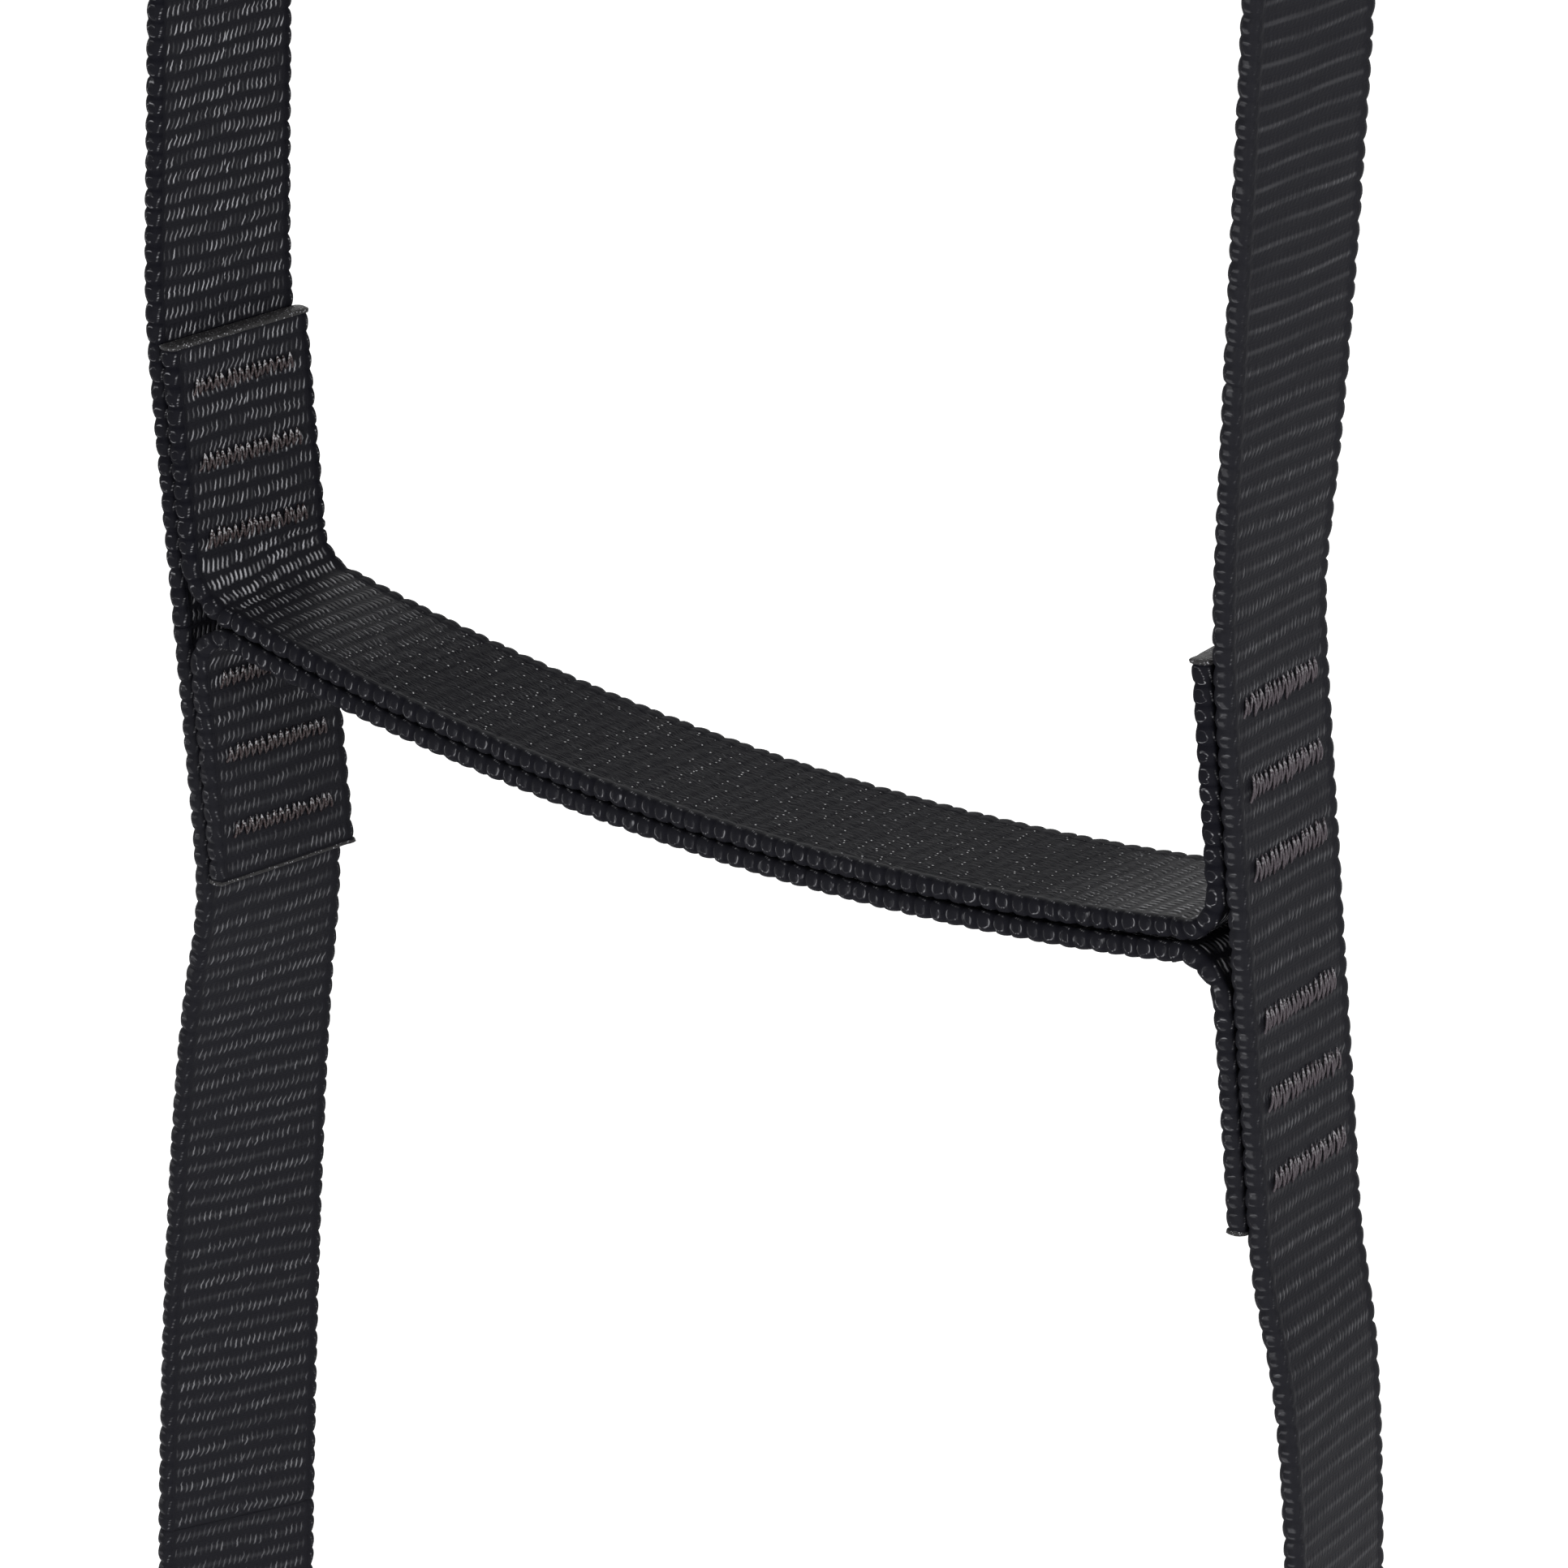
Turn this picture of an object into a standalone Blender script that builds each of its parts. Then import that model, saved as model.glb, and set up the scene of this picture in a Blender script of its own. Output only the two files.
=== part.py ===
"""Etrier: a hanging webbing ladder with a clip-in eye, four two-ply steps and bar-tacked joints.

The ladder hangs from its eye. X runs across the steps, Y through the width of the webbing and
Z up, with the origin where a connector bears in the eye. One webbing runs up one side, over the
eye and down the other side. Each step is two plies of webbing, one on the other. The ends of
the upper ply turn up along the side straps, the ends of the lower ply turn down, and bar tacks
sew each end to its strap. The straps bend at a fold line above and below each step, so they
are divided there, with a round edge that turns in a round notch.
"""

import math

import bmesh
import bpy
from mathutils import Matrix, Vector

MM = 0.001

# Webbing
WEBBING_WIDTH = 25 * MM
WEBBING_THICKNESS = 2.5 * MM
SELVEDGE_SHARE = 0.3  # of the thickness, taken off each long corner

# Bar tacks: thread that passes through both plies, with a bar of stitches on each face
THREAD_FILM = 0.3 * MM
THREAD_CLEARANCE = 0.2 * MM
BAR_RISE = 0.5 * MM
BAR_HEIGHT = 3.0 * MM
CORE_HEIGHT = 1.6 * MM
BAR_EDGE_MARGIN = 3.5 * MM
TACKS_PER_END = 3
TACK_SPACING = 11.2 * MM

# Ladder
STEP_COUNT = 4
STEP_PITCH = 300 * MM
FIRST_STEP_DROP = 360 * MM
STEP_WIDTH = 182 * MM
STEP_SAG = 7.4 * MM
STRAP_TOE = math.radians(7.5)  # turn of a strap about the vertical, its back edge inwards
STRAP_LEAN = math.radians(5.5)  # slope of a strap along a step's ends, down to the right
TAIL_LENGTH = 12 * MM  # strap below the lowest step's ends

# Ends of the two plies of a step
UPPER_BEND_RADIUS = 7 * MM
UPPER_TACK_START = 1.5 * MM
UPPER_END_INSET = 6 * MM
LOWER_BEND_RADIUS = 5.5 * MM
LOWER_TACK_START = 0.5 * MM
LOWER_END_INSET = 7 * MM

# Fold lines of the straps
FOLD_MARGIN = 6 * MM  # from a ply's end to the fold line
FOLD_WALL = 0.5 * MM  # round edge beyond the strap's faces
FOLD_GAP = 0.3 * MM

# Straps between the steps, from the top down
SPAN_BOWS = (1.0 * MM, 8.0 * MM, 4.0 * MM)
SPAN_SWAYS = (0.9 * MM, 2.7 * MM, 1.5 * MM)
SPAN_TOES = {
    "left": (math.radians(5), math.radians(19), math.radians(12)),
    "right": (math.radians(-0.5), math.radians(13), math.radians(10)),
}

SWING_SHARE = 0.5  # power of the half wave that a span swings out in, less than 1 for a quick start

# Eye and the two legs below it
EYE_WIDTH = 22 * MM
EYE_FLARE = math.radians(14)
EYE_FILLET = 12 * MM
EYE_TACK_MARGIN = 6 * MM
LEG_BEND_RADIUS = 40 * MM

# Facets
STEP_FACETS = 9  # odd, so that the middle of a step is level
BEND_FACETS = 5
EYE_FACETS = 8
LEG_FACETS = 4
SPAN_FACETS = 10
FOLD_FACETS = 24

CUT_OVERRUN = 4 * MM

SEAM_GAP = THREAD_FILM + 2 * THREAD_CLEARANCE
PLY_PITCH = WEBBING_THICKNESS + SEAM_GAP
TAB_OFFSET = PLY_PITCH * math.cos(STRAP_TOE)
TAB_HALF_WIDTH = STEP_WIDTH / 2 + WEBBING_THICKNESS / 2 * math.cos(STRAP_TOE)
STRAP_HALF_WIDTH = TAB_HALF_WIDTH + TAB_OFFSET
TAB_SHIFT = -PLY_PITCH * math.sin(STRAP_TOE)
BAR_WIDTH = WEBBING_WIDTH - 2 * BAR_EDGE_MARGIN
SLOT_WIDTH = BAR_WIDTH + 2 * THREAD_CLEARANCE
FOLD_RADIUS = (
    WEBBING_THICKNESS / 2 + WEBBING_WIDTH / 2 * math.sin(abs(STRAP_TOE)) + FOLD_WALL
)
FOLD_COLLAR = FOLD_RADIUS + FOLD_GAP  # half height of the upright stretch round a fold line

UPPER = 1
LOWER = -1
PLIES = {
    "upper": (UPPER, UPPER_BEND_RADIUS, UPPER_TACK_START, UPPER_END_INSET),
    "lower": (LOWER, LOWER_BEND_RADIUS, LOWER_TACK_START, LOWER_END_INSET),
}
SIDES = {"left": -1, "right": 1}

WEBBING_COLOUR = (0.017, 0.018, 0.021, 1)
WEBBING_ROUGHNESS = 0.7
THREAD_COLOUR = (0.045, 0.038, 0.040, 1)
THREAD_ROUGHNESS = 0.55


def clear_scene():
    """Remove every object of the scene."""
    for thing in list(bpy.data.objects):
        bpy.data.objects.remove(thing, do_unlink=True)


def finish_look(thing, colour, roughness):
    """Give an object a material of its own."""
    material = bpy.data.materials.new(thing.name)
    material.use_nodes = True
    shader = material.node_tree.nodes["Principled BSDF"]
    shader.inputs["Base Color"].default_value = colour
    shader.inputs["Roughness"].default_value = roughness
    shader.inputs["Metallic"].default_value = 0
    thing.data.materials.append(material)


def object_from(name, mesh_data):
    """Let a shape lean as the ladder does there, and turn it into an object of the scene."""
    for corner in mesh_data.verts:
        corner.co.x += lean_shift(corner.co.z)
    bmesh.ops.recalc_face_normals(mesh_data, faces=mesh_data.faces)
    mesh = bpy.data.meshes.new(name)
    mesh_data.to_mesh(mesh)
    mesh_data.free()
    thing = bpy.data.objects.new(name, mesh)
    bpy.context.scene.collection.objects.link(thing)
    return thing


def webbing_section():
    """Corners of the webbing's section, across its width and its thickness."""
    chamfer = WEBBING_THICKNESS * SELVEDGE_SHARE
    outer_w, inner_w = WEBBING_WIDTH / 2, WEBBING_WIDTH / 2 - chamfer
    outer_t, inner_t = WEBBING_THICKNESS / 2, WEBBING_THICKNESS / 2 - chamfer
    quarter = [(outer_w, inner_t), (inner_w, outer_t)]
    half = quarter + [(-w, t) for w, t in reversed(quarter)]
    return half + [(-w, -t) for w, t in half]


def sweep_webbing(name, path):
    """Lay a flat webbing along stations of x, y, z and its turn about the way it runs."""
    mesh_data = bmesh.new()
    centres = [Vector(station[:3]) for station in path]
    rings = []
    for index, (centre, station) in enumerate(zip(centres, path)):
        before = centres[max(index - 1, 0)]
        after = centres[min(index + 1, len(centres) - 1)]
        along = (after - before).normalized()
        level = (Vector((0, 1, 0)) - along * along.y).normalized()
        across = level * math.cos(station[3]) + level.cross(along) * math.sin(station[3])
        out = along.cross(across)
        ring = [mesh_data.verts.new(centre + across * w + out * t) for w, t in webbing_section()]
        rings.append(ring)
    for ring, following in zip(rings, rings[1:]):
        for corner in range(len(ring)):
            neighbour = (corner + 1) % len(ring)
            mesh_data.faces.new(
                (ring[corner], ring[neighbour], following[neighbour], following[corner])
            )
    mesh_data.faces.new(reversed(rings[0]))
    mesh_data.faces.new(rings[-1])
    return object_from(name, mesh_data)


def prism(name, outlines, frame, width):
    """Extrude closed outlines of a frame's X and Z axes to a width, centred, along its Y axis."""
    mesh_data = bmesh.new()
    for outline in outlines:
        front = [mesh_data.verts.new(frame @ Vector((x, -width / 2, z))) for x, z in outline]
        back = [mesh_data.verts.new(frame @ Vector((x, width / 2, z))) for x, z in outline]
        mesh_data.faces.new(front)
        mesh_data.faces.new(reversed(back))
        for corner in range(len(outline)):
            neighbour = (corner + 1) % len(outline)
            mesh_data.faces.new(
                (front[corner], back[corner], back[neighbour], front[neighbour])
            )
    return object_from(name, mesh_data)


def cut(thing, cutter):
    """Take a cutter away from an object, and keep the cutter as a guide."""
    cutter.hide_render = True
    cutter.display_type = "WIRE"
    boolean = thing.modifiers.new(cutter.name, "BOOLEAN")
    boolean.operation = "DIFFERENCE"
    boolean.solver = "EXACT"
    boolean.object = cutter


def spread(first, last, parts):
    """Even values from first to last, both included."""
    return [first + (last - first) * part / parts for part in range(parts + 1)]


def mirrored(half_path):
    """A path that runs in from the left as its right half runs out."""
    left = [(-x, y, z, toe) for x, y, z, toe in reversed(half_path) if x]
    return left + half_path


def step_level(step):
    """Height of a step's seam at its ends. Steps count from the top, starting at 1."""
    return -FIRST_STEP_DROP - (step - 1) * STEP_PITCH


def ply_arc(side, bend_radius):
    """Radius of the arc that a ply hangs in, and half the angle that it spans."""
    chord = TAB_HALF_WIDTH - bend_radius
    seam_radius = (chord**2 + STEP_SAG**2) / (2 * STEP_SAG)
    radius = seam_radius - side * PLY_PITCH / 2
    return seam_radius, radius, math.asin(chord / (radius - side * bend_radius))


def bend_points(step, side, bend_radius):
    """Centre line of the bend at a ply's right end, from the step to the strap."""
    seam_radius, radius, half_angle = ply_arc(side, bend_radius)
    arc_centre = step_level(step) - STEP_SAG + seam_radius
    start_x = radius * math.sin(half_angle)
    start_z = arc_centre - radius * math.cos(half_angle)
    centre_x = start_x - side * bend_radius * math.sin(half_angle)
    centre_z = start_z + side * bend_radius * math.cos(half_angle)
    return [
        (
            centre_x + side * bend_radius * math.sin(heading),
            centre_z - side * bend_radius * math.cos(heading),
        )
        for heading in spread(half_angle, side * math.pi / 2, BEND_FACETS)
    ]


def tack_heights(step, side, bend_radius, tack_start):
    """Heights of the bar tacks of a ply's end, from the step outwards."""
    bend_end = bend_points(step, side, bend_radius)[-1][1]
    first = bend_end + side * (tack_start + BAR_HEIGHT / 2)
    return [first + side * TACK_SPACING * tack for tack in range(TACKS_PER_END)]


def ply_end_height(step, ply):
    """Height of the end of a ply along the strap."""
    side, bend_radius, tack_start, inset = PLIES[ply]
    return tack_heights(step, side, bend_radius, tack_start)[-1] + side * inset


def fold_height(step, ply):
    """Height of the fold line above (upper) or below (lower) a step."""
    return ply_end_height(step, ply) + PLIES[ply][0] * FOLD_MARGIN


def lean_knots():
    """Heights, from the top down, between which the lean is even, and the shift at each."""
    knots = [(eye_tack_heights()[-1] - EYE_TACK_MARGIN, 0)]
    for step in range(1, STEP_COUNT + 1):
        for ply in PLIES:
            fold = fold_height(step, ply)
            inner = fold - PLIES[ply][0] * FOLD_COLLAR
            shift = (step_level(step) - inner) * math.tan(STRAP_LEAN)
            knots += [(fold + FOLD_COLLAR, shift), (fold - FOLD_COLLAR, shift)]
    return knots


def lean_shift(height):
    """How far the leaning straps carry the ladder to the right at a height."""
    knots = lean_knots()
    for (top, before), (bottom, after) in zip(knots, knots[1:]):
        if height >= bottom:
            share = min(max((top - height) / (top - bottom), 0), 1)
            return before + (after - before) * share
    return knots[-1][1]


def strap_frame(side, height, depth):
    """Frame on a strap: X out of its outer face, Y across its width, and depth in from its centre."""
    out = Vector((side * math.cos(STRAP_TOE), math.sin(STRAP_TOE), 0))
    across = Vector((-side * math.sin(STRAP_TOE), math.cos(STRAP_TOE), 0))
    up = Vector((0, 0, 1))
    place = Vector((side * STRAP_HALF_WIDTH, 0, height)) - out * depth
    turn = Matrix((out, across, up)).transposed().to_4x4()
    return Matrix.Translation(place) @ turn


def tack_outline(heights):
    """Outline of bar tacks joined by the thread film between two plies, about the film."""
    film = THREAD_FILM / 2
    face = SEAM_GAP / 2 + WEBBING_THICKNESS + THREAD_CLEARANCE
    crown = face + BAR_RISE
    bar, core = BAR_HEIGHT / 2, CORE_HEIGHT / 2
    half = []
    for height in sorted(heights):
        below = [(film, -core), (face, -core), (face, -bar), (crown, -bar)]
        half += [(x, height + z) for x, z in below]
        half += [(x, height - z) for x, z in reversed(below)]
    return half + [(-x, z) for x, z in reversed(half)]


def slot_outlines(heights):
    """Outlines of the slots that the thread of the tacks passes through, about the film."""
    reach = SEAM_GAP / 2 + WEBBING_THICKNESS + CUT_OVERRUN
    core = CORE_HEIGHT / 2 + THREAD_CLEARANCE
    corners = [(-reach, -core), (reach, -core), (reach, core), (-reach, core)]
    return [[(x, height + z) for x, z in corners] for height in heights]


def fold_notch(name, side, height):
    """Cutter for the round notch in the strap above a fold line."""
    frame = Matrix.Translation((side * STRAP_HALF_WIDTH, 0, height))
    turn = 2 * math.pi / FOLD_FACETS
    radius = FOLD_RADIUS + FOLD_GAP
    outline = [
        (radius * math.cos(turn * part), radius * math.sin(turn * part))
        for part in range(FOLD_FACETS)
    ]
    return prism(name, [outline], frame, WEBBING_WIDTH + 2 * CUT_OVERRUN)


def fold_edge(name, side, height):
    """Cutter that leaves a round edge on the strap below a fold line."""
    frame = Matrix.Translation((side * STRAP_HALF_WIDTH, 0, height))
    arc = [
        (FOLD_RADIUS * math.cos(angle), FOLD_RADIUS * math.sin(angle))
        for angle in spread(math.pi, 0, FOLD_FACETS // 2)
    ]
    reach = FOLD_RADIUS + CUT_OVERRUN
    outline = arc + [(reach, 0), (reach, reach), (-reach, reach), (-reach, 0)]
    return prism(name, [outline], frame, WEBBING_WIDTH + 2 * CUT_OVERRUN)


def tack_frame(side):
    """Frame of the tacks of a strap, on the thread film between the strap and a ply's end."""
    return strap_frame(side, 0, PLY_PITCH / 2)


def cut_tack_slots(thing, side, heights):
    """Cut the slots of one ply's end through a webbing."""
    name = f"{thing.name}_slots_{len(thing.modifiers)}"
    cut(thing, prism(name, slot_outlines(heights), tack_frame(side), SLOT_WIDTH))


def step_tack_heights(step, ply):
    """Heights of the bar tacks of one ply of a step."""
    side, bend_radius, tack_start, _ = PLIES[ply]
    return tack_heights(step, side, bend_radius, tack_start)


def make_step_ply(step, ply):
    """One ply of a step, with its two ends along the straps."""
    side, bend_radius, _, _ = PLIES[ply]
    seam_radius, radius, half_angle = ply_arc(side, bend_radius)
    arc_centre = step_level(step) - STEP_SAG + seam_radius
    arc = [
        (radius * math.sin(angle), 0, arc_centre - radius * math.cos(angle), 0)
        for angle in spread(-half_angle, half_angle, STEP_FACETS)
    ]
    bend = bend_points(step, side, bend_radius)
    right = []
    for part, (x, z) in enumerate(bend[1:], start=1):
        turned = part / BEND_FACETS
        right.append((x, TAB_SHIFT * turned, z, -side * STRAP_TOE * turned))
    right.append((TAB_HALF_WIDTH, TAB_SHIFT, ply_end_height(step, ply), -side * STRAP_TOE))
    left = [(-x, y, z, toe) for x, y, z, toe in reversed(right)]
    thing = sweep_webbing(f"step_{step}_{ply}_ply", left + arc + right)
    for strap_side in SIDES.values():
        cut_tack_slots(thing, strap_side, step_tack_heights(step, ply))
    finish_look(thing, WEBBING_COLOUR, WEBBING_ROUGHNESS)


def make_step_tacks(step, ply, side_name):
    """The bar tacks that hold one end of a ply to its strap."""
    outline = tack_outline(step_tack_heights(step, ply))
    name = f"step_{step}_{ply}_{side_name}_tacks"
    thing = prism(name, [outline], tack_frame(SIDES[side_name]), BAR_WIDTH)
    finish_look(thing, THREAD_COLOUR, THREAD_ROUGHNESS)


def make_step_strap(step, side_name):
    """The stretch of a side strap that a step is sewn to, between its two fold lines."""
    side = SIDES[side_name]
    top = fold_height(step, "upper")
    bottom = fold_height(step, "lower")
    if step == STEP_COUNT:
        bottom = ply_end_height(step, "lower") - TAIL_LENGTH
    knee = fold_height(step, "lower") + FOLD_COLLAR
    heights = [top + FOLD_RADIUS, top - FOLD_COLLAR, knee, knee - 2 * FOLD_COLLAR, bottom]
    if step < STEP_COUNT:
        heights.remove(knee - 2 * FOLD_COLLAR)
    path = [(side * STRAP_HALF_WIDTH, 0, height, side * STRAP_TOE) for height in heights]
    thing = sweep_webbing(f"{side_name}_strap_at_step_{step}", path)
    cut(thing, fold_edge(f"{thing.name}_edge", side, top))
    if step < STEP_COUNT:
        cut(thing, fold_notch(f"{thing.name}_notch", side, bottom))
    for ply in PLIES:
        cut_tack_slots(thing, side, step_tack_heights(step, ply))
    finish_look(thing, WEBBING_COLOUR, WEBBING_ROUGHNESS)


def make_span(step, side_name):
    """The free stretch of a side strap below a step, down to the next step's fold line."""
    side = SIDES[side_name]
    bow = SPAN_BOWS[(step - 1) % len(SPAN_BOWS)]
    sway = SPAN_SWAYS[(step - 1) % len(SPAN_SWAYS)]
    toe = SPAN_TOES[side_name][(step - 1) % len(SPAN_TOES[side_name])]
    top = fold_height(step, "lower")
    bottom = fold_height(step + 1, "upper")
    first, last = top - FOLD_COLLAR, bottom + FOLD_COLLAR
    path = [(STRAP_HALF_WIDTH, 0, top + FOLD_RADIUS, STRAP_TOE)]
    for part, height in enumerate(spread(first, last, SPAN_FACETS)):
        swing = math.sin(math.pi * part / SPAN_FACETS) ** SWING_SHARE
        turned = STRAP_TOE + (toe - STRAP_TOE) * swing
        path.append((STRAP_HALF_WIDTH + bow * swing, sway * swing, height, turned))
    path.append((STRAP_HALF_WIDTH, 0, bottom, STRAP_TOE))
    placed = [(side * x, y, z, side * turned) for x, y, z, turned in path]
    thing = sweep_webbing(f"{side_name}_strap_below_step_{step}", placed)
    cut(thing, fold_edge(f"{thing.name}_edge", side, top))
    cut(thing, fold_notch(f"{thing.name}_notch", side, bottom))
    finish_look(thing, WEBBING_COLOUR, WEBBING_ROUGHNESS)


def eye_path():
    """Right half of the eye, from its crown to the tacks, as x and z."""
    crown_radius = EYE_WIDTH / 2 + WEBBING_THICKNESS / 2
    centre_z = -EYE_WIDTH / 2
    crown = [
        (crown_radius * math.sin(angle), centre_z + crown_radius * math.cos(angle))
        for angle in spread(0, math.pi / 2 + EYE_FLARE, EYE_FACETS)
    ]
    neck = PLY_PITCH / 2 + EYE_FILLET * (1 - math.cos(EYE_FLARE))
    side_length = (crown_radius * math.cos(EYE_FLARE) - neck) / math.sin(EYE_FLARE)
    neck_z = crown[-1][1] - side_length * math.cos(EYE_FLARE) - EYE_FILLET * math.sin(EYE_FLARE)
    fillet = [
        (PLY_PITCH / 2 + EYE_FILLET * (1 - math.cos(angle)), neck_z + EYE_FILLET * math.sin(angle))
        for angle in spread(EYE_FLARE, 0, LEG_FACETS)
    ]
    return crown + fillet


def eye_tack_heights():
    """Heights of the bar tacks below the eye."""
    first = eye_path()[-1][1] - EYE_TACK_MARGIN
    return [first - TACK_SPACING * tack for tack in range(TACKS_PER_END)]


def leg_path():
    """Right leg from the eye's tacks to the first step, as x, z and the share of the toe turned."""
    top = eye_tack_heights()[-1] - EYE_TACK_MARGIN
    bottom = fold_height(1, "upper")
    reach = STRAP_HALF_WIDTH - PLY_PITCH / 2 - 2 * LEG_BEND_RADIUS
    drop = top - bottom
    straight = math.sqrt(reach**2 + drop**2 - (2 * LEG_BEND_RADIUS) ** 2)
    lean = math.atan2(reach, drop) + math.atan2(2 * LEG_BEND_RADIUS, straight)
    upper = [
        (
            PLY_PITCH / 2 + LEG_BEND_RADIUS * (1 - math.cos(angle)),
            top - LEG_BEND_RADIUS * math.sin(angle),
            0,
        )
        for angle in spread(0, lean, LEG_FACETS)
    ]
    lower = [
        (
            STRAP_HALF_WIDTH - LEG_BEND_RADIUS * (1 - math.cos(angle)),
            bottom + LEG_BEND_RADIUS * math.sin(angle),
            1,
        )
        for angle in spread(lean, 0, LEG_FACETS)
    ]
    start_x, start_z, _ = upper[-1]
    end_x, end_z, _ = lower[0]
    between = [
        (start_x + (end_x - start_x) * share, start_z + (end_z - start_z) * share, share)
        for share in spread(0, 1, LEG_FACETS)[1:-1]
    ]
    return upper + between + lower


def make_head():
    """The webbing over the eye, with both legs and the straps of the first step."""
    half = [(x, 0, z, 0) for x, z in eye_path()]
    half += [(x, 0, z, STRAP_TOE * share) for x, z, share in leg_path()]
    notch = fold_height(1, "lower")
    for height in (fold_height(1, "upper") - FOLD_COLLAR, notch + FOLD_COLLAR, notch):
        half.append((STRAP_HALF_WIDTH, 0, height, STRAP_TOE))
    thing = sweep_webbing("head_webbing", mirrored(half))
    eye_frame = Matrix.Identity(4)
    slots = slot_outlines(eye_tack_heights())
    cut(thing, prism("head_webbing_eye_slots", slots, eye_frame, SLOT_WIDTH))
    for name, side in SIDES.items():
        for ply in PLIES:
            cut_tack_slots(thing, side, step_tack_heights(1, ply))
        cut(thing, fold_notch(f"head_webbing_{name}_notch", side, notch))
    finish_look(thing, WEBBING_COLOUR, WEBBING_ROUGHNESS)
    tacks = prism("eye_tacks", [tack_outline(eye_tack_heights())], eye_frame, BAR_WIDTH)
    finish_look(tacks, THREAD_COLOUR, THREAD_ROUGHNESS)


def main():
    """Build the whole ladder."""
    clear_scene()
    make_head()
    for step in range(1, STEP_COUNT + 1):
        for ply in PLIES:
            make_step_ply(step, ply)
            for side_name in SIDES:
                make_step_tacks(step, ply, side_name)
    for side_name in SIDES:
        for step in range(2, STEP_COUNT + 1):
            make_step_strap(step, side_name)
        for step in range(1, STEP_COUNT):
            make_span(step, side_name)


main()
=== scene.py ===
"""Looks of the etrier: woven webbing, heat-sealed ends, bar tacks and a studio round them.

The file is laid out as a Blender add-on and is run as a script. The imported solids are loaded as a
fixed frame. Every solid is webbing or thread, so each is replaced by a woven or a stitched piece
on the same line. A webbing is swept along its line and ribbed by a Geometry Nodes tree, and a
bar tack is a zigzag of thread that another tree lays along a guide edge.
"""

import math
from functools import partial

import bpy
import numpy as np
from mathutils import Matrix, Vector


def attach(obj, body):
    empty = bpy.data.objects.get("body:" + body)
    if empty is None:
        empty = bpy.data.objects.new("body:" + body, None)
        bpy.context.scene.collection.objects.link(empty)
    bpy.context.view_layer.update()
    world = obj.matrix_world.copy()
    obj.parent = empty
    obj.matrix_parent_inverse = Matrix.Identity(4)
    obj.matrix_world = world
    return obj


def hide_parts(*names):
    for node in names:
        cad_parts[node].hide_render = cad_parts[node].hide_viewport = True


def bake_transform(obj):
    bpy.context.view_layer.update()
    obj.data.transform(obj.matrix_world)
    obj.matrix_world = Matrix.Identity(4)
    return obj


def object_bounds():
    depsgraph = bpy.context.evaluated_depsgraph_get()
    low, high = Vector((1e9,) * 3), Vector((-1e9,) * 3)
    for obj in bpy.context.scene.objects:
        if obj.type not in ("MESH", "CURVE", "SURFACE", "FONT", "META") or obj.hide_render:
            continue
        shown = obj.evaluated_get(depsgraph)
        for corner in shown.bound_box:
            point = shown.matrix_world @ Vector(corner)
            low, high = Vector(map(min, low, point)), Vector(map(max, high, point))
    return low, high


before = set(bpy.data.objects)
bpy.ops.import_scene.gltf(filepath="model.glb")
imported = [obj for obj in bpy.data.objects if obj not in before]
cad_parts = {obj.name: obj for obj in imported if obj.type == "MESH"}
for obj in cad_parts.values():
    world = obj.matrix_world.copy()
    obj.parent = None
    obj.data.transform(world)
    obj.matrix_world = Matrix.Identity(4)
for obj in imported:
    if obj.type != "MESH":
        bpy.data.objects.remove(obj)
CAD_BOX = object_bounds()

bl_info = {
    "name": "Etrier looks",
    "version": (1, 0, 0),
    "blender": (4, 5, 0),
    "location": "View3D > Sidebar > Etrier",
    "description": "Woven webbing, bar tacks and studio of a hanging webbing ladder",
    "category": "Object",
}

MM = 0.001

# The ladder's line, as the solids have it
WEBBING_WIDTH = 25 * MM
WEBBING_THICKNESS = 2.5 * MM
PLY_PITCH = 3.2 * MM
STEP_COUNT = 4
STEP_PITCH = 300 * MM
FIRST_STEP_DROP = 360 * MM
STEP_WIDTH = 182 * MM
STEP_SAG = 7.4 * MM
STRAP_TOE = math.radians(7.5)
STRAP_LEAN = math.radians(5.5)
TAIL_LENGTH = 12 * MM
BAR_WIDTH = 18 * MM
BAR_HEIGHT = 3 * MM
TACKS_PER_END = 3
TACK_SPACING = 11.2 * MM
FOLD_MARGIN = 6 * MM  # from the end of a ply to its fold line
FOLD_CLEARANCE = 0.8 * MM
# Half of the straight stretch round a fold line
FOLD_COLLAR = WEBBING_THICKNESS / 2 + WEBBING_WIDTH / 2 * math.sin(STRAP_TOE) + FOLD_CLEARANCE
# How far the straps bow outwards, sway back and turn in each of the cells between the steps
SPAN_BOWS = (1 * MM, 8 * MM, 4 * MM)
SPAN_SWAYS = (0.9 * MM, 2.7 * MM, 1.5 * MM)
SPAN_TOES = {
    "left": (math.radians(5), math.radians(19), math.radians(12)),
    "right": (math.radians(-0.5), math.radians(13), math.radians(10)),
}
EYE_WIDTH = 22 * MM
EYE_FLARE = math.radians(14)
EYE_FILLET = 12 * MM
EYE_TACK_MARGIN = 6 * MM
LEG_BEND_RADIUS = 40 * MM

# Side of a ply, its bend radius, its first tack's margin and its end beyond the last tack
PLIES = {
    "upper": (1, 7 * MM, 1.5 * MM, 6 * MM),
    "lower": (-1, 5.5 * MM, 0.5 * MM, 7 * MM),
}
SIDES = {"left": -1, "right": 1}
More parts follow.
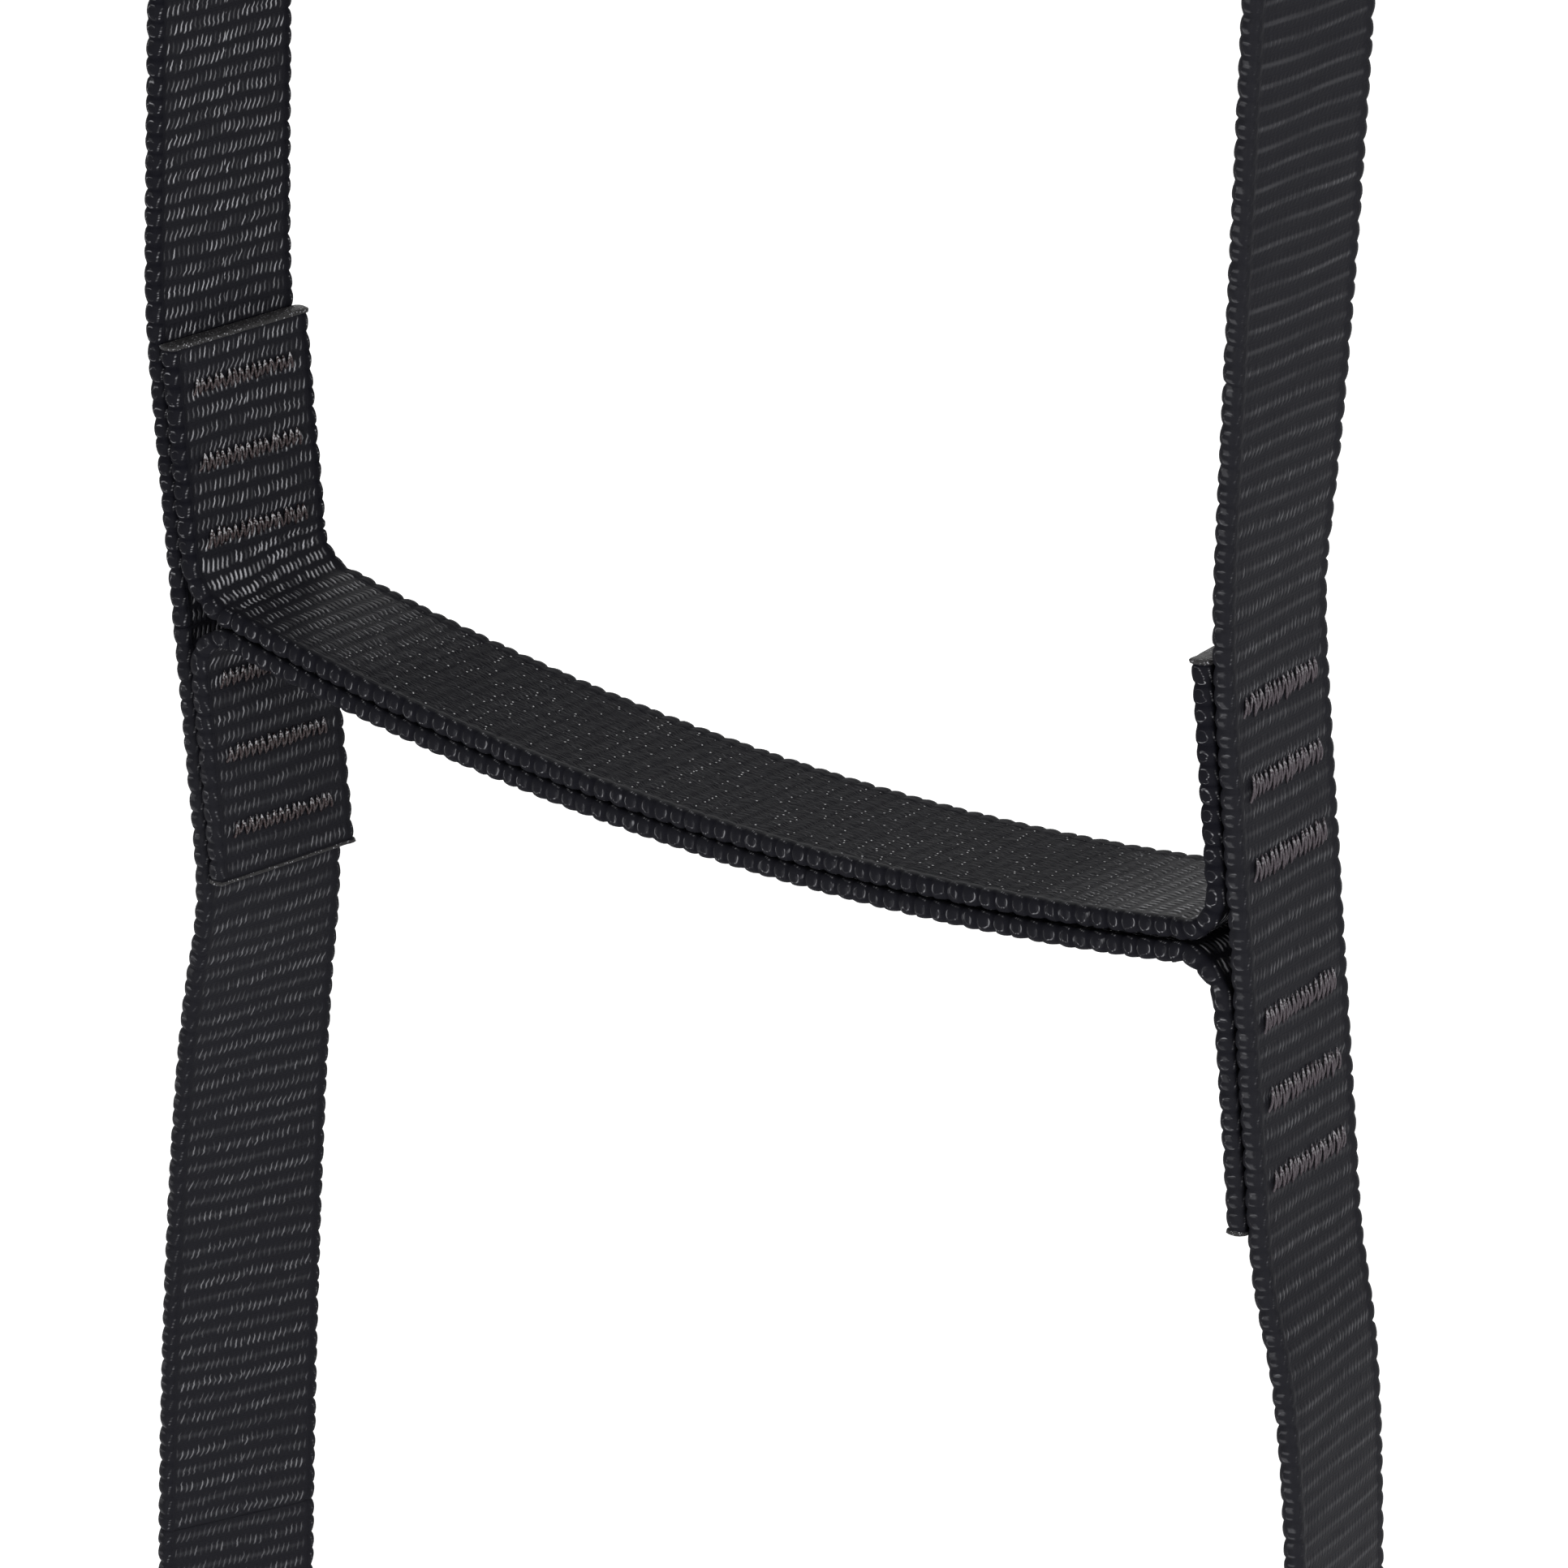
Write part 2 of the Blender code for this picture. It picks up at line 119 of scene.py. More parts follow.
# Middle lines of the plies' ends and of the straps beside them, from the middle of the ladder
TAB_HALF_WIDTH = STEP_WIDTH / 2 + WEBBING_THICKNESS / 2 * math.cos(STRAP_TOE)
STRAP_HALF_WIDTH = TAB_HALF_WIDTH + PLY_PITCH * math.cos(STRAP_TOE)
TAB_SHIFT = -PLY_PITCH * math.sin(STRAP_TOE)
ARC_SAMPLES, CROWN_SAMPLES, BEND_SAMPLES, FILLET_SAMPLES = 300, 60, 40, 20

# The webbing's mesh: rings to a rib, and a quarter of its section from the middle of a face to
# the middle of a selvedge, which is a little thicker than the face. Each row has the shares of
# half the width and half the thickness, and how far the point has the ribs of the face and the
# beads of the selvedge
RINGS_PER_RIB = 6
SECTION_SHARES = (
    (0.0, 1.0, 1.0, 0.0),
    (0.19, 1.0, 1.0, 0.0),
    (0.38, 1.0, 1.0, 0.0),
    (0.57, 1.0, 1.0, 0.0),
    (0.74, 1.0, 0.9, 0.0),
    (0.82, 0.95, 0.5, 0.1),
    (0.875, 0.96, 0.2, 0.3),
    (0.92, 1.08, 0.1, 0.6),
    (0.965, 0.96, 0.0, 0.85),
    (0.99, 0.57, 0.0, 1.0),
    (1.0, 0.0, 0.0, 1.0),
)
LINE_STEP = 0.5 * MM
SMOOTHING = 6 * MM  # length over which the strap's line eases at a fold
FOLD_EASE = 7 * MM  # from a fold line to where the strap begins and ends to bend
RIB_PITCH = 2.8 * MM
FACE_WIDTH = WEBBING_WIDTH + WEBBING_THICKNESS  # once across a face and half of each selvedge
RIB_WAVER = (0.05, 21 * MM, 13)  # in ribs, and over which width and how many ribs it repeats
PINCH_REACH, PINCH_MARGIN = 1.5 * MM, 1.2 * MM  # round a bar tack and beyond its ends
FULL_BEND = 0.05  # turn between two rings that counts as a full bend
# Rings that close an end of a webbing: how far beyond it, and the shares of thickness and of
# width left. The round end of a strap bulges by a little more than half the thickness
ROUND_BULGE, ROUND_ANGLES = 0.55, (20, 40, 60, 78, 88)
SEALED_RINGS = ((0.05 * MM, 1.3, 1.015), (0.5 * MM, 1.26, 1.01), (0.7 * MM, 0.9, 0.985))
WEAVE_SEED, STITCH_SEED = 3.0, 5.0
POLYAMIDE_IOR = 1.53
POINTS_PER_STITCH = 8

# Wear of a strap's outer face along the straps and beside a step, and of the selvedges of the two
# sides' straps; wear also dims the painted glints and lifts the painted shade of the grooves.
# Below the second step the inner faces' painted glints dim and their grooves lift in the same
# way, painting the weaker light that falls lower down
OUTER_WEAR, SEAM_WEAR = 1.0, 0.8
INNER_GLINT_FALLOFF = (0.0, 0.6)
EDGE_WEAR = {"left": 0.1, "right": 0.85}
# Where the wear changes along the outer face, from a step, and where the inner faces' painted
# light changes, below and above the second step's level. A tread, with its painted shade and
# sparkles, begins and is full at two places from its step's middle
SEAM_REACH = (55 * MM, 90 * MM)
INNER_REACH = (-30 * MM, 10 * MM)
TREAD_REACH = (80 * MM, 58 * MM)
TREAD_FLATNESS = 0.5

# Marks of the weave, each by where it fades out and where it is full, from its middle. On a face
# they are measured in yarns across it and in ribs along it
STROKE_WIDTH, STROKE_LENGTH = (0.17, 0.05), (0.32, 0.16)
STROKE_LEAN = -0.7  # over one rib, in yarns
HAZE_LENGTH = (0.17, 0.05)
PLIES_PER_YARN = 3.0
SPARKLE_WIDTH, SPARKLE_LENGTH = (0.15, 0.07), (0.06, 0.025)
# On a selvedge they are in millimetres across it and in ribs along it, the arc in millimetres
ARC_RADIUS, ARC_CENTRE = 0.9, 0.25
ARC_WIDTH, ARC_OPENING = (0.13, 0.03), (0.6, 0.3)
SIDE_STROKE_PLACE = 1.6
SIDE_STROKE_WIDTH, SIDE_STROKE_LENGTH = (0.18, 0.06), (0.3, 0.2)
TICK_WIDTH, TICK_LENGTH = (0.24, 0.08), (0.65, 0.35)
BEAD_LENGTH = (0.5, 0.25)
# Where the face begins and the selvedge ends, in millimetres from the middle of the selvedge
FACE_START, SELVEDGE_END = (2.6, 3.0), (2.4, 2.1)

# The photograph's frame, and where the middle of the second step lies in it
IMAGE_SIDE = 1932
AIM = (919, 933)
SENSOR_WIDTH = 36  # millimetres
CLIP_RANGE = (0.05, 100)  # metres
FLOOR_RADIUS, FLOOR_CORNERS = 40.0, 96  # metres, and sides of the round floor
FLOOR_GLOW = 0.62  # what the lit floor lacks to look white

# Lamps: name, place, size and share of the key light's power
LAMPS = (
    ("key_lamp", (0.5, -2.2, -0.4), 1.4, 1.0),
    ("side_lamp", (2.4, -0.5, -0.3), 1.2, 1.0),
    ("back_lamp", (-1.6, 1.8, 0.2), 1.4, 0.3),
)


def linear(hex_colour):
    """Linear red, green and blue of an sRGB hex colour."""
    shares = [int(hex_colour[at : at + 2], 16) / 255 for at in (1, 3, 5)]
    return tuple(s / 12.92 if s <= 0.04045 else ((s + 0.055) / 1.055) ** 2.4 for s in shares)


def length_setting(name, description, default):
    """A length in metres that the sidebar shows."""
    return bpy.props.FloatProperty(
        name=name, description=description, default=default, subtype="DISTANCE", unit="LENGTH",
        min=0.0, precision=5,
    )


def colour_setting(name, description, default):
    """A colour that the sidebar shows."""
    return bpy.props.FloatVectorProperty(
        name=name, description=description, default=linear(default), subtype="COLOR", size=3,
        min=0.0, max=1.0,
    )


class EtrierWebbing(bpy.types.PropertyGroup):
    """Sizes and colours of the woven webbing, with the colours of its painted shade and highlights.
    """

    rib_pitch: length_setting("Rib pitch", "Length of one rib along the webbing", RIB_PITCH)
    rib_height: length_setting("Rib height", "Height of a rib over its grooves", 0.24 * MM)
    bead_height: length_setting("Bead height", "Depth of the scallops of a selvedge", 0.62 * MM)
    pinch_depth: length_setting("Pinch depth", "Depth to which a bar tack pulls in", 0.3 * MM)
    yarn_pitch: length_setting("Yarn pitch", "Width of one yarn across the webbing", 0.88 * MM)
    yarn_relief: length_setting("Yarn relief", "Height of a yarn over its neighbours", 0.2 * MM)
    unevenness: length_setting("Unevenness", "How far the weave strays", 0.09 * MM)
    fibre: colour_setting("Fibre", "Colour of the yarns", "#19191d")
    # Painted shade: the colour that shows between the yarns, in the band beside a selvedge, between
    # the beads and over a tread
    shade: colour_setting("Shade", "Colour between the yarns", "#0a0a10")
    # Painted highlight: the glints of the yarns' crowns and of the selvedges, and the beads of the
    # sealed ends
    painted_glint: colour_setting("Glint", "Colour of the filaments on a yarn's crown", "#a9a9ad")
    # Painted highlight: the sparse sparkles of a tread
    painted_sparkle: colour_setting("Sparkle", "Colour of a filament that faces the light", "#f0f0f2")
    sealed: colour_setting("Sealed end", "Colour of the melted yarn ends", "#1d1c1d")


class EtrierThread(bpy.types.PropertyGroup):
    """Sizes and colours of the bar tacks, with the colour of their painted highlight."""

    diameter: length_setting("Thread", "Diameter of the sewing thread", 0.38 * MM)
    stitch_pitch: length_setting("Stitch pitch", "Length of one zigzag", 1.15 * MM)
    bulge: length_setting("Bulge", "Rise of a stitch over its ends", 0.35 * MM)
    colour: colour_setting("Thread colour", "Colour of the sewing thread", "#261a1b")
    haze: colour_setting("Worn thread", "Colour of the thread on a worn face", "#3e373c")
    # Painted highlight on the top of each stitch
    painted_glint: colour_setting("Thread glint", "Colour of its brightest filaments", "#c2c1c4")


class EtrierStudio(bpy.types.PropertyGroup):
    """Camera, floor and light."""

    azimuth: bpy.props.FloatProperty(
        name="Azimuth", description="Turn of the camera round the ladder, from the front",
        default=math.radians(41.1), subtype="ANGLE", unit="ROTATION",
    )
    elevation: bpy.props.FloatProperty(
        name="Elevation", description="Height of the camera above the horizon",
        default=math.radians(21.8), subtype="ANGLE", unit="ROTATION",
    )
    distance: length_setting("Distance", "From the camera to the second step", 1504 * MM)
    lens: bpy.props.FloatProperty(
        name="Lens", description="Focal length in millimetres", default=250.64, min=1.0,
        unit="CAMERA",
    )
    floor_drop: length_setting("Floor drop", "Height of the ladder above the floor", 20 * MM)
    key_power: bpy.props.FloatProperty(
        name="Key light", description="Power of the front light", default=34.0, subtype="POWER",
        unit="POWER",
    )
    fill_level: bpy.props.FloatProperty(
        name="Fill light", description="Strength of the even light from all sides", default=0.35,
    )
    floor_colour: colour_setting("Floor", "Colour of the floor", "#f4f4f4")


def step_level(step):
    """Height of a step's seam at its ends, counted from the top."""
    return -FIRST_STEP_DROP - (step - 1) * STEP_PITCH


def ply_arc(side, bend_radius):
    """Radius of the seam's arc and of the ply's arc, and half the angle that the ply spans."""
    chord = TAB_HALF_WIDTH - bend_radius
    seam_radius = (chord**2 + STEP_SAG**2) / (2 * STEP_SAG)
    radius = seam_radius - side * PLY_PITCH / 2
    return seam_radius, radius, math.asin(chord / (radius - side * bend_radius))


def bend_line(step, side, bend_radius):
    """Bend at a ply's right end, from the step to the strap, as x and z."""
    seam_radius, radius, half_angle = ply_arc(side, bend_radius)
    arc_centre = step_level(step) - STEP_SAG + seam_radius
    centre_x = (radius - side * bend_radius) * math.sin(half_angle)
    centre_z = arc_centre - (radius - side * bend_radius) * math.cos(half_angle)
    heading = np.linspace(half_angle, side * math.pi / 2, BEND_SAMPLES)
    x = centre_x + side * bend_radius * np.sin(heading)
    return x, centre_z - side * bend_radius * np.cos(heading)


def tack_heights(step, ply):
    """Heights of the bar tacks of a ply's end, from the step outwards."""
    side, bend_radius, start, _ = PLIES[ply]
    bend_end = bend_line(step, side, bend_radius)[1][-1]
    first = bend_end + side * (start + BAR_HEIGHT / 2)
    return [first + side * TACK_SPACING * tack for tack in range(TACKS_PER_END)]


def ply_end_height(step, ply):
    """Height of the end of a ply along the strap."""
    return tack_heights(step, ply)[-1] + PLIES[ply][0] * PLIES[ply][3]


def fold_height(step, ply):
    """Height of the fold line above (upper) or below (lower) a step."""
    return ply_end_height(step, ply) + PLIES[ply][0] * FOLD_MARGIN


def lean_shift(height):
    """How far the leaning straps carry the ladder to the right at a height or at heights."""
    heights, shifts = [eye_tack_heights()[-1] - EYE_TACK_MARGIN], [0.0]
    for step in range(1, STEP_COUNT + 1):
        for ply in PLIES:
            fold = fold_height(step, ply)
            inner = fold - PLIES[ply][0] * FOLD_COLLAR
            shift = (step_level(step) - inner) * math.tan(STRAP_LEAN)
            heights += [fold + FOLD_COLLAR, fold - FOLD_COLLAR]
            shifts += [shift, shift]
    return np.interp(height, heights[::-1], shifts[::-1])


def leaned(line):
    """A line carried to the right as the straps lean."""
    return line + np.outer(lean_shift(line[:, 2]), (1, 0, 0, 0))


def ply_line(step, ply):
    """Line of one ply of a step, from its left end to its right end, as x, y, z and turn."""
    side, bend_radius, _, _ = PLIES[ply]
    seam_radius, radius, half_angle = ply_arc(side, bend_radius)
    arc_centre = step_level(step) - STEP_SAG + seam_radius
    angle = np.linspace(-half_angle, half_angle, ARC_SAMPLES)
    nothing = np.zeros_like(angle)
    arc = [radius * np.sin(angle), nothing, arc_centre - radius * np.cos(angle), nothing]
    x, z = bend_line(step, side, bend_radius)
    turned = np.linspace(0, 1, len(x))
    height = np.linspace(z[-1], ply_end_height(step, ply), BEND_SAMPLES)[1:]
    end = np.ones_like(height)
    right = [
        np.append(x[1:], TAB_HALF_WIDTH * end),
        np.append(TAB_SHIFT * turned[1:], TAB_SHIFT * end),
        np.append(z[1:], height),
        np.append(-side * STRAP_TOE * turned[1:], -side * STRAP_TOE * end),
    ]
    columns = zip((-1, 1, 1, 1), right, arc)
    line = np.array([np.concatenate((sign * r[::-1], a, r)) for sign, r, a in columns]).T
    return leaned(line)


def strap_line(side_name):
    """Line of one side's strap from the first step down to its end, as x, y, z and turn."""
    side = SIDES[side_name]
    bottom = ply_end_height(STEP_COUNT, "lower") - TAIL_LENGTH
    z = np.arange(step_level(1), bottom, -LINE_STEP)
    x, y, toe = STRAP_HALF_WIDTH + 0 * z, 0 * z, STRAP_TOE + 0 * z
    for step in range(1, STEP_COUNT):
        top = fold_height(step, "lower") - FOLD_COLLAR
        end = fold_height(step + 1, "upper") + FOLD_COLLAR
        swing = np.sqrt(np.sin(math.pi * np.clip((top - z) / (top - end), 0, 1)))
        x = x + SPAN_BOWS[step - 1] * swing
        y = y + SPAN_SWAYS[step - 1] * swing
        toe = toe + (SPAN_TOES[side_name][step - 1] - STRAP_TOE) * swing
    line = leaned(np.array([side * x, y, z, side * toe]).T)

    # Eased by a bell curve, cut off at three times its width
    reach = int(3 * SMOOTHING / LINE_STEP)
    kernel = np.exp(-0.5 * (np.arange(-reach, reach + 1) * LINE_STEP / SMOOTHING) ** 2)
    kernel /= kernel.sum()
    for column in (0, 1, 3):
        line[:, column] = np.convolve(np.pad(line[:, column], reach, "edge"), kernel, "valid")
    return line


def eye_neck_height():
    """Height at which the two legs meet below the eye."""
    crown_radius = EYE_WIDTH / 2 + WEBBING_THICKNESS / 2
    crown_end = -crown_radius * math.sin(EYE_FLARE) - EYE_WIDTH / 2
    neck = PLY_PITCH / 2 + EYE_FILLET * (1 - math.cos(EYE_FLARE))
    flared = (crown_radius * math.cos(EYE_FLARE) - neck) / math.tan(EYE_FLARE)
    return crown_end - flared - EYE_FILLET * math.sin(EYE_FLARE)


def head_line():
    """Line of the webbing from the first step's left end over the eye to its right end."""
    crown_radius = EYE_WIDTH / 2 + WEBBING_THICKNESS / 2

    # The eye is round above and narrows to the neck, where the legs meet
    angle = np.linspace(0, math.pi / 2 + EYE_FLARE, CROWN_SAMPLES)
    crown_x = crown_radius * np.sin(angle)
    crown_z = crown_radius * np.cos(angle) - EYE_WIDTH / 2
    neck_z = eye_neck_height()
    angle = np.linspace(EYE_FLARE, 0, FILLET_SAMPLES)
    fillet_x = PLY_PITCH / 2 + EYE_FILLET * (1 - np.cos(angle))
    fillet_z = neck_z + EYE_FILLET * np.sin(angle)

    # Below the eye's tacks each leg bends outwards, runs straight and bends down again
    top = neck_z - 2 * EYE_TACK_MARGIN - (TACKS_PER_END - 1) * TACK_SPACING
    bottom = fold_height(1, "upper")
    reach = STRAP_HALF_WIDTH - PLY_PITCH / 2 - 2 * LEG_BEND_RADIUS
    straight = math.sqrt(reach**2 + (top - bottom) ** 2 - (2 * LEG_BEND_RADIUS) ** 2)
    lean = math.atan2(reach, top - bottom) + math.atan2(2 * LEG_BEND_RADIUS, straight)
    angle = np.linspace(0, lean, BEND_SAMPLES)
    upper_x = PLY_PITCH / 2 + LEG_BEND_RADIUS * (1 - np.cos(angle))
    upper_z = top - LEG_BEND_RADIUS * np.sin(angle)
    lower_x = STRAP_HALF_WIDTH - LEG_BEND_RADIUS * (1 - np.cos(angle[::-1]))
    lower_z = bottom + LEG_BEND_RADIUS * np.sin(angle[::-1])
    x = np.concatenate((crown_x, fillet_x, upper_x, lower_x, [STRAP_HALF_WIDTH]))
    z = np.concatenate((crown_z, fillet_z, upper_z, lower_z, [step_level(1)]))
    toe = STRAP_TOE * np.clip((top - z) / (top - bottom), 0, 1)
    half = np.array([x, 0 * x, z, toe]).T
    return leaned(np.concatenate((half[:0:-1] * (-1, 1, 1, 1), half)))


def eye_tack_heights():
    """Heights of the bar tacks below the eye."""
    first = eye_neck_height() - EYE_TACK_MARGIN
    return [first - TACK_SPACING * tack for tack in range(TACKS_PER_END)]


def stations_on(line, rib_pitch):
    """Even stations on a line, RINGS_PER_RIB to a rib and a whole number of ribs in all."""
    steps = np.linalg.norm(np.diff(line[:, :3], axis=0), axis=1)
    run = np.append(0, np.cumsum(steps))
    ribs = round(run[-1] / rib_pitch)
    at = np.linspace(0, run[-1], ribs * RINGS_PER_RIB + 1)
    return np.array([np.interp(at, run, column) for column in line.T]).T


def tack_points(step_range, webbing):
    """Middles of the bar tacks on a strap or a ply, where they pull it in."""
    points = []
    for step in step_range:
        for ply in PLIES:
            for height in tack_heights(step, ply):
                shift = float(lean_shift(height))
                for side in SIDES.values():
                    if webbing == "strap":
                        points.append((side * STRAP_HALF_WIDTH + shift, 0, height))
                    else:
                        points.append((side * TAB_HALF_WIDTH + shift, TAB_SHIFT, height))
    return points


def add_node(tree, kind, inputs=(), take=0, **settings):
    """Add a node with its settings, values and links, and give one output, or itself for None.

    A kind in capitals is an operation of the Math node. Inputs go by order or by name.
    """
    if kind.isupper():
        settings["operation"] = kind
        kind = "ShaderNodeMath"
    node = tree.nodes.new(kind)
    for name, value in settings.items():
        setattr(node, name, value)
    sockets = [socket for socket in node.inputs if socket.enabled]
    named = {socket.name: socket for socket in sockets}
    pairs = inputs.items() if isinstance(inputs, dict) else enumerate(inputs)
    for key, value in pairs:
        socket = named[key] if isinstance(key, str) else sockets[key]
        if isinstance(value, bpy.types.NodeSocket):
            tree.links.new(value, socket)
        elif value is not None:
            socket.default_value = value
    outputs = [socket for socket in node.outputs if socket.enabled]
    if take is None or not outputs:
        return node
    return outputs[take] if isinstance(take, int) else node.outputs[take]


def new_material(name):
    """An empty node material."""
    material = bpy.data.materials.new(name)
    material.use_nodes = True
    material.node_tree.nodes.clear()
    return material


def finish_material(material, base, coats, pattern, rise, roughness, specular):
    """Give a material its surface: a base colour under coats, a raised pattern, and its gloss.

    Each coat has how far it covers what lies below it, and its colour.
    """
    add = partial(add_node, material.node_tree)
    colour = (*base, 1)
    for cover, coat in coats:
        inputs = {"Factor": cover, "A": colour, "B": (*coat, 1)}
        colour = add("ShaderNodeMix", inputs, data_type="RGBA")
    bump = add("ShaderNodeBump", {"Strength": 1.0, "Distance": rise, "Height": pattern})
    surface = add(
        "ShaderNodeBsdfPrincipled",
        {
            "Base Color": colour,
            "Roughness": roughness,
            "Normal": bump,
            "IOR": POLYAMIDE_IOR,
            "Specular IOR Level": specular,
        },
    )
    add("ShaderNodeOutputMaterial", {"Surface": surface})


def mark(add, aside, reach):
    """How much of a mark shows at a place aside from its middle, from 0 to 1."""
    fades_out, full = reach
    aside = add("ABSOLUTE", (aside,))
    return add("ShaderNodeMapRange", {"Value": aside, "From Min": fades_out, "From Max": full})


def face_weave(add, settings, place, round_section, ribs):
    """Pattern of a face: relief, tone, glint and sparkle of the yarns.

    Yarns run along the webbing. Each shows as a short leaning stroke on every rib, half a yarn
    aside from the stroke before it, painted as a glint. The wear share, which also paints softer
    light, fades the glints to a faint haze. A tread is pressed flat: its ribs fade and its yarns'
    plies show as fine wavy lines; its top is painted darker as shade, its glints are dimmed and a
    painted sparkle shows here and there. The tone sets how far the fibre colour covers the painted
    shade: least between the yarns and over a tread, most on the crowns.
    """
    worn, tread_and_top_shade, bend_highlight = (
        add("ShaderNodeAttribute", take="Fac", attribute_name=name)
        for name in ("worn", "tread_and_top_shade", "bend_highlight")
    )
    row = add("FLOOR", (ribs,))
    in_rib = add("SUBTRACT", (add("FRACT", (ribs,)), 0.5))
    yarns = add("MULTIPLY", (round_section, FACE_WIDTH / settings.yarn_pitch))
    strays = add("ShaderNodeTexNoise", {"Vector": place, "Scale": 1.9, "Detail": 2.0})
    strayed = add("MULTIPLY_ADD", (strays, 1.2, yarns))
    staggered = add("MULTIPLY_ADD", (row, 0.5, strayed))
    in_yarn = add("SUBTRACT", (add("FRACT", (staggered,)), 0.5))
    cell = add("ShaderNodeCombineXYZ", (add("FLOOR", (staggered,)), row))
    chance = add("ShaderNodeTexWhiteNoise", {"Vector": cell})
    other_cell = add("ShaderNodeVectorMath", (cell, (7.3, 3.1, 0.0)), operation="ADD")
    other_chance = add("ShaderNodeTexWhiteNoise", {"Vector": other_cell})
    row_chance = add("ShaderNodeTexWhiteNoise", {"W": row}, noise_dimensions="1D")
    lean = add("MULTIPLY", (in_rib, add("MULTIPLY_ADD", (chance, STROKE_LEAN, STROKE_LEAN / 2))))
    aside = add("ABSOLUTE", (add("SUBTRACT", (in_yarn, lean)),))

    # Crown of a yarn: round, 1/2.1 yarn to each side and 1/2.4 rib to each end
    wide = add("SUBTRACT", (1.0, add("POWER", (add("MULTIPLY", (aside, 2.1)), 2.0))))
    past = add("ABSOLUTE", (in_rib,))
    long = add("SUBTRACT", (1.0, add("POWER", (add("MULTIPLY", (past, 2.4)), 2.0))))
    crown = add("MULTIPLY", (add("MAXIMUM", (wide, 0.0)), add("MAXIMUM", (long, 0.0))))
    crown = add("SQRT", (crown,))

    # Painted glint: a thin stroke on a crown, wider towards one end and in a bend, and a little off
    # its middle
    slid = add("MULTIPLY_ADD", (other_chance, 0.2, add("SUBTRACT", (in_rib, 0.1))))
    tapered = add("MULTIPLY_ADD", (bend_highlight, -0.08, add("MULTIPLY_ADD", (in_rib, -0.12, aside))))
    narrow = mark(add, add("MAXIMUM", (tapered, 0.0)), STROKE_WIDTH)
    stroke = add("MULTIPLY", (narrow, mark(add, slid, STROKE_LENGTH)))

    # Brightness of the painted glint: by yarn, by row, fainter on every other row and brighter in a
    # bend, which turns towards the light
    by_yarn = {"Value": chance, "From Min": 0.08, "From Max": 0.75, "To Min": 0.1}
    by_yarn = add("ShaderNodeMapRange", by_yarn)
    every_other = add("MULTIPLY", (add("FRACT", (add("MULTIPLY", (row, 0.5)),)), -2.0))
    fainter = add("MULTIPLY_ADD", (worn, 0.6, 0.2))
    by_row = add("ShaderNodeMapRange", {"Value": row_chance, "To Min": 0.65})
    by_row = add("MULTIPLY", (by_row, add("MULTIPLY_ADD", (every_other, fainter, 1.0))))
    stroke = add("MULTIPLY", (stroke, add("MULTIPLY", (by_yarn, by_row))))
    stroke = add("MULTIPLY", (stroke, add("MULTIPLY_ADD", (bend_highlight, 0.6, 1.0))))

    # Painted haze of a worn face: a faint cloudy line of light on each rib, with traces of the
    # strokes
    cloud = add("ShaderNodeTexNoise", {"Vector": place, "Scale": 2.6, "Detail": 3.0})
    cloud = add("ShaderNodeMapRange", {"Value": cloud, "From Min": 0.35, "From Max": 0.7})
    line = mark(add, in_rib, HAZE_LENGTH)
    dots = add("MULTIPLY", (stroke, line))
    haze = add("MULTIPLY_ADD", (dots, 0.12, add("MULTIPLY", (line, 0.06))))
    haze = add("MULTIPLY", (haze, add("MULTIPLY_ADD", (cloud, 0.9, 0.25))))

    # Lines of a tread: plies of the yarns, about 0.3 mm apart, that wave with the ribs
    waver = add("MULTIPLY", (add("SINE", (add("MULTIPLY", (ribs, 2 * math.pi)),)), 0.5))
    plies = add("MULTIPLY_ADD", (strayed, PLIES_PER_YARN, waver))
    ply_place = add("ShaderNodeCombineXYZ", (plies, add("MULTIPLY", (ribs, 0.9))))
    plies = add("ShaderNodeTexNoise", {"Vector": ply_place, "Scale": 1.0, "Detail": 1.0})
    plies = add("ShaderNodeMapRange", {"Value": plies, "From Min": 0.35, "From Max": 0.65})

    # Painted sparkles of a tread, as highlights: dots by the grooves, on some yarns, more in some
    # zones than in others
    spot = add("MULTIPLY_ADD", (other_chance, 0.7, add("SUBTRACT", (in_yarn, 0.35))))
    dip = add("MULTIPLY_ADD", (other_chance, 0.3, add("SUBTRACT", (in_rib, 0.5))))
    dot = add("MULTIPLY", (mark(add, spot, SPARKLE_WIDTH), mark(add, dip, SPARKLE_LENGTH)))
    zone = add("ShaderNodeTexNoise", {"Vector": place, "Scale": 0.9})
    rare = add("MULTIPLY_ADD", (zone, 1.4, add("SUBTRACT", (chance, 0.7))))
    some = add("ShaderNodeMapRange", {"Value": rare, "From Min": 0.58, "From Max": 0.72})
    painted_sparkle = add("MULTIPLY", (add("MULTIPLY", (dot, some)), tread_and_top_shade))

    relief = add("ShaderNodeMix", {"Factor": tread_and_top_shade, "A": crown, "B": plies})
    flatness = add("MULTIPLY_ADD", (worn, -0.6, 1.0))
    relief = add("MULTIPLY", (relief, flatness))
    # The tone paints shade: the fibre colour thins between the yarns, and a tread is painted darker
    # as a whole; its glints are dimmed too
    pressed = add("MULTIPLY", (relief, add("MULTIPLY_ADD", (tread_and_top_shade, -0.1, 0.3))))
    tone = add("MULTIPLY_ADD", (tread_and_top_shade, -0.7, add("ADD", (pressed, 0.7))))
    painted_glint = add("ShaderNodeMix", {"Factor": worn, "A": stroke, "B": haze})
    dim = add("MULTIPLY_ADD", (tread_and_top_shade, -0.85, 1.0))
    return relief, tone, add("MULTIPLY", (painted_glint, dim)), painted_sparkle


